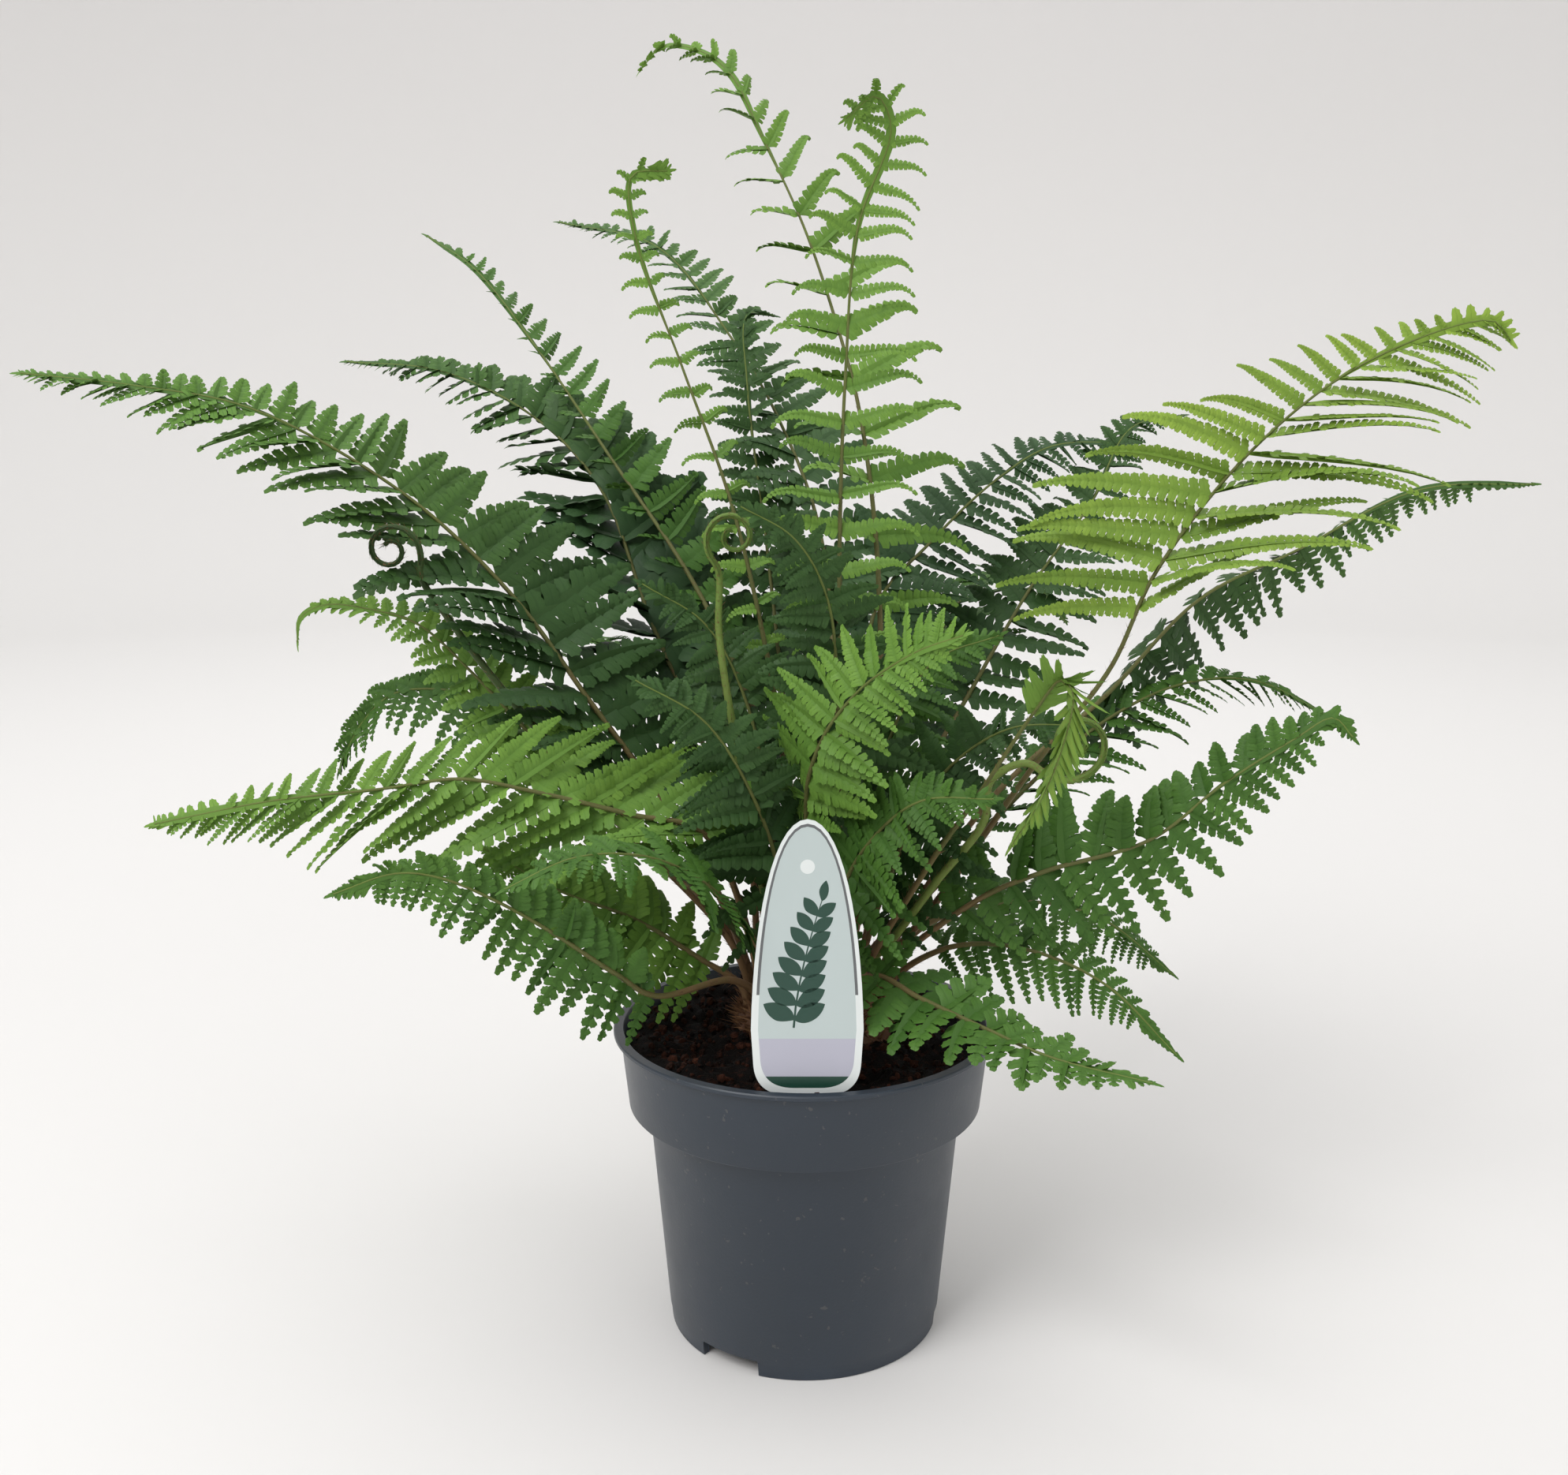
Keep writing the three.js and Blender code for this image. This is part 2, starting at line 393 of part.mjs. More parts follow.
// The label's outline: a half ellipse on bowed sides, with a round foot and a pointed spike
function labelOutline(grow) {
  const half = LABEL.width / 2 + grow;
  const { height, shoulderHeight, cornerRadius, spikeLength } = LABEL;
  const spike = LABEL.spikeWidth / 2 + grow;
  const shape = new THREE.Shape();
  shape.moveTo(0, -spikeLength - grow);
  shape.lineTo(spike, -spikeLength + 9);
  shape.lineTo(spike, -grow);
  shape.lineTo(half - cornerRadius - 2, -grow);
  shape.quadraticCurveTo(half - 2, -grow, half - 1, cornerRadius);
  shape.lineTo(half, shoulderHeight);
  shape.bezierCurveTo(half - 1, shoulderHeight + 48, half * 0.62, height + grow, 0, height + grow);
  shape.bezierCurveTo(-half * 0.62, height + grow, 1 - half, shoulderHeight + 48, -half, shoulderHeight);
  shape.lineTo(1 - half, cornerRadius);
  shape.quadraticCurveTo(2 - half, -grow, cornerRadius + 2 - half, -grow);
  shape.lineTo(-spike, -grow);
  shape.lineTo(-spike, -spikeLength + 9);
  shape.closePath();
  return shape;
}

function makeLabel(grow) {
  const depth = LABEL.thickness + 2 * grow;
  const geometry = new THREE.ExtrudeGeometry(labelOutline(grow), { depth, bevelEnabled: false, curveSegments: 7 });
  geometry.translate(0, 0, -depth / 2).rotateX(Math.PI / 2 - rad(LABEL.lean));
  return solidOf(geometry.translate(LABEL.x, LABEL.y, LABEL.foot));
}

// A stalk's curve from its socket in the crown through its guide points
function stalkCurve({ seat: [ring, azimuth], route }, extra = []) {
  const way = vec(Math.cos(rad(azimuth)), Math.sin(rad(azimuth)), 0);
  const centre = vec(CROWN.x, CROWN.y, 0);
  const surface = crownSurface(ring);
  const root = centre.clone().addScaledVector(way, ring).setZ(surface - SOCKET_DEPTH);
  const collar = centre.clone().addScaledVector(way, ring + 3).setZ(surface + 10);
  const points = [root, collar, ...route.map(([x, y, z]) => vec(x, y, z)), ...extra];
  return new THREE.CatmullRomCurve3(points, false, 'centripetal');
}

// Even samples of a midrib with the directions along it, to its side and out of its upper face
function midribOf(frond) {
  const points = stalkCurve(frond).getPoints(STALK.samples);
  const last = points.length - 1;
  const along = points.map((_, i) => {
    const after = points[Math.min(i + 1, last)];
    return after.clone().sub(points[Math.max(i - 1, 0)]).normalize();
  });
  const reach = [0];
  for (let i = 1; i <= last; i++) reach.push(reach[i - 1] + points[i].distanceTo(points[i - 1]));
  const length = reach[last];
  const middle = reach.findIndex((r) => r > length * 0.6);
  const up = [];
  const square = (i, guide) => guide.clone().addScaledVector(along[i], -guide.dot(along[i])).normalize();
  up[middle] = square(middle, vec(...frond.face));
  for (let i = middle + 1; i <= last; i++) up[i] = square(i, up[i - 1]);
  for (let i = middle - 1; i >= 0; i--) up[i] = square(i, up[i + 1]);

  const at = (distance) => {
    const found = reach.findIndex((r) => r >= distance);
    const i = Math.max(found < 0 ? last : found, 1);
    const share = Math.min((distance - reach[i - 1]) / (reach[i] - reach[i - 1]), 1);
    const mix = (list) => list[i - 1].clone().lerp(list[i], share);
    const T = mix(along).normalize();
    const N = mix(up).normalize();
    return { point: mix(points), along: T, up: N, side: N.clone().cross(T) };
  };
  return { length, at };
}

function stalkRadius(share) {
  return STALK.baseRadius + (STALK.tipRadius - STALK.baseRadius) * share;
}

// The three corners of a stalk's section: left and right on the upper face, and the keel below
function sectionAt(midrib, distance, grow = 0) {
  const { point, up, side } = midrib.at(distance);
  const radius = stalkRadius(distance / midrib.length) + grow;
  const corner = (s, n) => point.clone().addScaledVector(side, s * radius).addScaledVector(up, n * radius);
  return [corner(0.87, 0.6), corner(-0.87, 0.6), corner(0, -1)];
}

// Length of a leaflet by its place on the leafy part, longest at about a third of it
function leafletLength(frond, half, place) {
  const peak = 0.3;
  if (place < peak) return frond.long[half] * (0.68 + 0.32 * Math.sin((place / peak) * Math.PI / 2));
  return frond.long[half] * (0.05 + 0.95 * ((1 - place) / (1 - peak)) ** frond.taper[half]);
}

// Where a pair of leaflets stands on the midrib, closer together towards the tip
function pairPlace(frond, midrib, index) {
  const place = 1 - (1 - (index + 0.4) / frond.pairs) ** 1.2;
  const distance = midrib.length * (frond.bare + (1 - frond.bare) * place);
  return { place, distance, seat: THREE.MathUtils.lerp(LEAFLET.seat, LEAFLET.tipSeat, place) };
}

// A leaflet's own axes, for one side of the midrib and one way of bending it
function leafletOf(frond, midrib, index, sideSign, [lift, turn, share]) {
  const { place, distance } = pairPlace(frond, midrib, index);
  const { point, along, up, side } = midrib.at(distance);
  const half = sideSign > 0 ? 0 : 1;
  const sweep = rad(frond.sweep[half] + frond.lean[half] * place * place + turn);
  const rise = rad(frond.rise[half] + lift);
  const level = side.clone().multiplyScalar(sideSign * Math.cos(sweep)).addScaledVector(along, Math.sin(sweep));
  const out = level.multiplyScalar(Math.cos(rise)).addScaledVector(up, Math.sin(rise)).normalize();
  const forward = along.clone().addScaledVector(out, -along.dot(out)).normalize();
  const flat = out.clone().cross(forward).multiplyScalar(sideSign > 0 ? -1 : 1);
  const roll = rad(frond.roll[half]);
  const across = forward.clone().multiplyScalar(Math.cos(roll)).addScaledVector(flat, -Math.sin(roll));
  const face = flat.clone().multiplyScalar(Math.cos(roll)).addScaledVector(forward, Math.sin(roll));
  const length = leafletLength(frond, half, place) * share;
  const fade = length / frond.long[half];
  const width = frond.wide * (0.35 + 0.65 * fade) / 2;
  const shape = (s, w) => point.clone()
    .addScaledVector(out, s * length)
    .addScaledVector(across, w * width)
    .addScaledVector(forward, 0.1 * length * s * s)
    .add(vec(0, 0, -length * (frond.droop * s ** 2 + frond.hook * s ** 5)));
  return { sideSign, face, shape, toothed: length > LEAFLET.toothedFrom };
}

// Outline from the root side of a leaflet round its tip to the side nearer the frond's tip
function outlineOf(leaflet) {
  const edge = leaflet.toothed ? TOOTHED_EDGE : PLAIN_EDGE;
  const back = edge.map(([s, w]) => leaflet.shape(s, -w));
  const front = edge.map(([s, w]) => leaflet.shape(s, w)).reverse();
  return [...back, leaflet.shape(1, 0), ...front];
}

function ribPoint(leaflet, height) {
  return leaflet.shape(LEAFLET.ribPlace, 0).addScaledVector(leaflet.face, height);
}

// A slightly swollen copy of a leaflet, to try whether it clears its neighbours
function trialSolid(leaflet) {
  const { margin, ribHeight } = LEAFLET;
  const heart = ribPoint(leaflet, 0);
  const outline = outlineOf(leaflet).map((p) => p.addScaledVector(p.clone().sub(heart).normalize(), margin));
  const start = [leaflet.shape(0.05, -0.3), leaflet.shape(0.05, 0.3)];
  const rim = [start[0], ...outline, start[1]];
  const top = rim.length;
  const vertices = [...rim, ribPoint(leaflet, ribHeight + margin), ribPoint(leaflet, -ribHeight - margin)];
  const triangles = rim.flatMap((_, i) => {
    const next = (i + 1) % rim.length;
    return leaflet.sideSign > 0 ? [[top, next, i], [top + 1, i, next]] : [[top, i, next], [top + 1, next, i]];
  });
  return solidOf(geometryOf(vertices, triangles));
}

// Where a frond's sections stand: along the bare stalk, then before and after each pair of leaflets
function sectionPlaces(frond, midrib) {
  const bare = midrib.length * frond.bare;
  const steps = Math.max(2, Math.round(bare / STALK.tubeStep));
  const stalk = Array.from({ length: steps }, (_, i) => bare * i / steps);
  const pairs = Array.from({ length: frond.pairs }, (_, index) => {
    const { distance, seat } = pairPlace(frond, midrib, index);
    return [distance - seat, distance + seat];
  });
  return { stalk, pairs };
}

// A slightly swollen copy of the whole stalk, for the same trials and for its hole in the crown
function trialStalk(frond, midrib, grow) {
  const { stalk, pairs } = sectionPlaces(frond, midrib);
  const rings = [...stalk, ...pairs.flat()].map((distance) => sectionAt(midrib, distance, grow));
  rings[0].forEach((corner) => corner.addScaledVector(midrib.at(0).along, -grow));
  const vertices = rings.flat();
  const triangles = [[1, 0, 2]];
  const end = 3 * (rings.length - 1);
  for (let i = 0; i < end; i += 3) triangles.push(...tubeSegment(i, i + 3));
  triangles.push([end, end + 1, end + 2]);
  return solidOf(geometryOf(vertices, triangles));
}

const topStrip = (a, b) => [[a, a + 1, b + 1], [a, b + 1, b]];
const leftStrip = (a, b) => [[a, b, b + 2], [a, b + 2, a + 2]];
const rightStrip = (a, b) => [[b + 1, a + 1, a + 2], [b + 1, a + 2, b + 2]];
const tubeSegment = (a, b) => [...topStrip(a, b), ...leftStrip(a, b), ...rightStrip(a, b)];

// One closed frond: a three-sided midrib whose side strips open into leaflets
function frondGeometry(frond, midrib, leaflets) {
  const vertices = [];
  const triangles = [];
  const ring = (distance) => {
    vertices.push(...sectionAt(midrib, distance));
    return vertices.length - 3;
  };
  const open = (leaflet, a, b) => {
    const left = leaflet.sideSign > 0;
    const upper = left ? 0 : 1;
    const outline = outlineOf(leaflet);
    const first = vertices.length;
    vertices.push(...outline, ribPoint(leaflet, LEAFLET.ribHeight), ribPoint(leaflet, -LEAFLET.ribHeight));
    const ids = outline.map((_, i) => first + i);
    const top = first + outline.length;
    const add = (p, q, r) => triangles.push(left ? [p, r, q] : [p, q, r]);
    const fan = (heart, rim, turn) => rim.forEach((id, i) => {
      const next = rim[(i + 1) % rim.length];
      if (turn) add(heart, next, id);
      else add(heart, id, next);
    });
    fan(top, [a + upper, ...ids, b + upper], false);
    fan(top + 1, [a + 2, ...ids, b + 2], true);
    add(ids[0], a + upper, a + 2);
    add(b + upper, ids[ids.length - 1], b + 2);
  };

  const { stalk, pairs } = sectionPlaces(frond, midrib);
  let last = ring(stalk[0]);
  triangles.push([last + 1, last, last + 2]);
  const join = (distance) => {
    const next = ring(distance);
    triangles.push(...tubeSegment(last, next));
    last = next;
  };
  stalk.slice(1).forEach(join);
  pairs.forEach(([before, after], index) => {
    const [left, right] = leaflets[index];
    join(before);
    const next = ring(after);
    triangles.push(...topStrip(last, next));
    if (left) open(left, last, next);
    else triangles.push(...leftStrip(last, next));
    if (right) open(right, last, next);
    else triangles.push(...rightStrip(last, next));
    last = next;
  });
  vertices.push(midrib.at(midrib.length).point);
  const tip = vertices.length - 1;
  triangles.push([last, last + 1, tip], [last + 1, last + 2, tip], [last + 2, last, tip]);
  return geometryOf(vertices, triangles);
}

const boxOf = (solid) => {
  const { min, max } = solid.boundingBox();
  return new THREE.Box3(vec(...min), vec(...max));
};

function touches(trial, box, others) {
  return others.some((other) => {
    if (!box.intersectsBox(other.box)) return false;
    const shared = trial.intersect(other.solid);
    const hit = !shared.isEmpty();
    shared.delete();
    return hit;
  });
}

// Places the leaflets of all fronds one by one, each in the first bend that is clear of what is there
function placeLeaflets(midribs, fixed) {
  const placed = [];
  const all = FRONDS.map(() => []);
  FRONDS.forEach((frond, f) => {
    for (let index = 0; index < frond.pairs; index++) {
      all[f].push([1, -1].map((sideSign) => {
        for (const bend of BENDS) {
          const leaflet = leafletOf(frond, midribs[f], index, sideSign, bend);
          const solid = trialSolid(leaflet);
          const box = boxOf(solid);
          if (!touches(solid, box, [...fixed.filter((item) => item.owner !== f), ...placed])) {
            placed.push({ solid, box });
            return leaflet;
          }
          solid.delete();
        }
        return null;
      }));
    }
  });
  return all;
}

// A crozier's path: its stalk, then a coil in the upright plane that the stalk lies in
function crozierGeometry(crozier, grow = 0) {
  const centre = vec(...crozier.coilCentre);
  const lastPoint = vec(...crozier.route[crozier.route.length - 1]);
  const start = lastPoint.clone().sub(centre);
  const startAngle = Math.atan2(start.z, start.x);
  const coil = [];
  for (let i = 1; i <= COIL.steps; i++) {
    const share = i / COIL.steps;
    const angle = startAngle + crozier.turn * share * crozier.coilTurns * 2 * Math.PI;
    const radius = THREE.MathUtils.lerp(start.length(), COIL.inner, Math.sqrt(share));
    coil.push(centre.clone().add(vec(Math.cos(angle), 0, Math.sin(angle)).multiplyScalar(radius)));
  }
  const curve = stalkCurve(crozier, coil);
  const steps = 10 + COIL.steps;
  const points = curve.getSpacedPoints(steps);
  const frames = curve.computeFrenetFrames(steps, false);
  const vertices = [];
  const triangles = [];
  points[0].addScaledVector(curve.getTangent(0), -grow);
  points.forEach((point, i) => {
    const radius = THREE.MathUtils.lerp(COIL.stalkRadius, COIL.endRadius, (i / steps) ** 3) + grow;
    for (let k = 0; k < COIL.sides; k++) {
      const angle = 2 * Math.PI * k / COIL.sides;
      vertices.push(point.clone()
        .addScaledVector(frames.normals[i], radius * Math.cos(angle))
        .addScaledVector(frames.binormals[i], radius * Math.sin(angle)));
    }
    if (i === 0) return;
    for (let k = 0; k < COIL.sides; k++) {
      const next = (k + 1) % COIL.sides;
      const [a, b] = [(i - 1) * COIL.sides, i * COIL.sides];
      triangles.push([a + k, a + next, b + next], [a + k, b + next, b + k]);
    }
  });
  const end = steps * COIL.sides;
  for (let k = 1; k < COIL.sides - 1; k++) triangles.push([0, k + 1, k], [end, end + k, end + k + 1]);
  return geometryOf(vertices, triangles);
}

const plant = new THREE.Group();
plant.name = 'potted_male_fern';

const pot = makePot();
const label = makeLabel(0);
const soil = makeSoil().subtract(crownSocket()).subtract(makeLabel(GAP));

const midribs = FRONDS.map(midribOf);
const croziers = CROZIERS.map((crozier) => crozierGeometry(crozier));
const swollenStalks = FRONDS.map((frond, f) => trialStalk(frond, midribs[f], GAP + 0.2));
const swollenCroziers = CROZIERS.map((crozier) => solidOf(crozierGeometry(crozier, GAP + 0.2)));
const crown = [...swollenStalks, ...swollenCroziers].reduce((body, stalk) => body.subtract(stalk), makeCrown());

plant.add(meshOf('pot', geometryFrom(pot), 0x3b444c, 0.4));
plant.add(meshOf('soil', geometryFrom(soil), 0x2a1c16, 0.95));
plant.add(meshOf('crown', geometryFrom(crown), 0x6b4427, 0.9));
plant.add(meshOf('label', geometryFrom(label), 0xc9d3cf, 0.3));

const fixed = [
  ...[pot, soil, crown, label, ...swollenCroziers].map((solid) => ({ solid, box: boxOf(solid) })),
  ...swollenStalks.map((solid, owner) => ({ solid, box: boxOf(solid), owner })),
];
const leaflets = placeLeaflets(midribs, fixed);
FRONDS.forEach((frond, f) => {
  const geometry = frondGeometry(frond, midribs[f], leaflets[f]);
  plant.add(meshOf(frond.name, geometry, COLOURS[frond.colour], 0.6));
});
croziers.forEach((geometry, i) => plant.add(meshOf(CROZIERS[i].name, geometry, 0x8a9a4a, 0.6)));

export default plant;
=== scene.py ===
# Potted male fern: the finished surface over its frame of pot, soil, crown, label, fronds and young croziers.
# The frame is in metres, +Z up, its origin under the middle of the pot. The plant's front looks along -Y.

import math

import bmesh
import bpy
import numpy as np
from bpy.props import FloatProperty, FloatVectorProperty, IntProperty, PointerProperty
from mathutils import Matrix, Vector, noise


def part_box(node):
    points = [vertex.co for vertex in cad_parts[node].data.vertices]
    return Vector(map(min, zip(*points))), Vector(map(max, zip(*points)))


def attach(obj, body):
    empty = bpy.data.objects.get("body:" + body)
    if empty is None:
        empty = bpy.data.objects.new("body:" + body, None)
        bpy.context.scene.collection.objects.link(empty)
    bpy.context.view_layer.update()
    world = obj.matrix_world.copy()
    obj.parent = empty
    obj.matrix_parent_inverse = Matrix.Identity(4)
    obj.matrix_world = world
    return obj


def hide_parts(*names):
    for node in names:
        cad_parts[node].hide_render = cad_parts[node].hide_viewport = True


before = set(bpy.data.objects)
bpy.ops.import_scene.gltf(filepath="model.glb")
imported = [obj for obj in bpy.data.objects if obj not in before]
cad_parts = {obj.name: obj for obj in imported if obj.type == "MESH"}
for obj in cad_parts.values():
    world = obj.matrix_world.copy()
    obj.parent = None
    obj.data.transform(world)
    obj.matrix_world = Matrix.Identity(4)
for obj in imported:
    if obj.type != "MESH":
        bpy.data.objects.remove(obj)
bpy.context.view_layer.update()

bl_info = {
    "name": "Potted male fern",
    "version": (1, 0, 0),
    "blender": (4, 5, 0),
    "location": "3D View > Sidebar > Fern",
    "description": "Makes a potted male fern in fine detail round its packed frame",
    "category": "Add Mesh",
}

MM = 0.001
BODY = "root"

# Sizes from here to the end of the croziers are in millimetres unless said otherwise, and angles in degrees.
# The crown, the number of its scales, how deep stalks stand in it, their radii and the points on their curves
CROWN = {"x": 5, "y": 5, "radius": 39, "shoulder": 151, "top": 175}
CROWN_SCALES = 2600
SOCKET_DEPTH = 11
STALK_RADIUS = 1.9
STALK_TIP_RADIUS = 0.35
CURVE_SAMPLES = 240

# Rings along the rods of which stalks, leaflets' midribs and wings are made, and the seeds of random draws
RINGS = {"stalk": 90, "costa": 7, "wing": 30, "crozier": 149}
SEEDS = {"crumbs": 11, "crown": 5, "croziers": 31}

# The pot's notches, cut out of its foot, and its drain holes
NOTCHES = {"azimuths": (237, 357, 117), "ring": 67.7, "size": (12, 32, 16.4), "rounding": 1.2}
DRAINS = {"count": 5, "ring": 42, "radius": 4.5, "depth": 6, "height": 9.6}

# The peat's level, and its reach to the pot's wall
PEAT_LEVEL = 149
PEAT_RADIUS = 88

# Where the label's foot stands, its lean, how far its prints keep from its edge, and how high they reach
LABEL = {"y": -83.5, "z": 151, "lean": 2, "border": 1.9, "paper": 3.2, "white_top": 46, "band_top": 26,
         "foot_top": 8.5, "dot_height": 104, "dot_radius": 3.2}

# The backdrop's sweep and the sky, then each light's name, place, size, power and aim, in metres and watts
BACKDROP = {"floor_radius": 3.6, "bend": 1.6, "top": 4.6}
SKY = {"colour": (0.98, 0.99, 1.0, 1), "strength": 0.66}
PLANT_MIDDLE = (0, 0, 0.3)
LIGHTS = (
    ("key", (-1.5, -1.6, 2.4), 1.6, 58, PLANT_MIDDLE),
    ("fill", (1.9, -1.4, 1.3), 2.2, 9, PLANT_MIDDLE),
    ("top", (0.1, 0.6, 2.8), 2.4, 24, PLANT_MIDDLE),
    ("wall wash", (0, 1.6, 3.2), 2.5, 30, (0, 5, 1.6)),
)

# How much closer pairs of leaflets stand towards the tip in the frame, how near a tip has to lie to one of
# the frame's, the bend of a leaflet that the frame leaves out, and the small differences between leaflets
FRAME_CROWDING = 1.2
TIP_MATCH = 0.4
HIDDEN_BEND = (0, 0, 0.7)
SWAY = {"sweep": 4.5, "rise": 8, "roll": 14, "length": (0.86, 1.08), "droop": (-0.04, 0.14), "shift": 0.2}

# Ways in which a leaflet may be bent clear of its neighbours: extra lift, extra sweep and share of its length
BENDS = [
    (0, 0, 1), (16, 0, 1), (-16, 0, 1), (0, 16, 1), (0, -16, 1), (32, 0, 1), (-32, 0, 1), (16, 16, 0.85),
    (-16, 16, 0.85), (48, 0, 0.85), (-48, 0, 0.85), (0, 0, 0.65), (24, 0, 0.65), (-24, 0, 0.65), (0, 0, 0.45),
    (30, 10, 0.45), (-30, 10, 0.45),
]

# What a frond has unless its own plan says otherwise. Leaflets have two values where the sides differ.
USUAL = dict(taper=0.9, sweep=12, lean=16, rise=0, roll=(0, 20), droop=0.1, hook=0.05, fine=False, broad=1,
             stretch=1, loose=1, crowd=1.7, simple=8, sun=(0, 0), leaf=None)
PAIRED = ("long", "taper", "sweep", "lean", "rise", "roll")


def frond(**own):
    """A frond's plan, from its own values and the usual ones."""
    plan = {**USUAL, **own}
    for key in PAIRED:
        if not isinstance(plan[key], tuple):
            plan[key] = (plan[key], plan[key])
    return plan


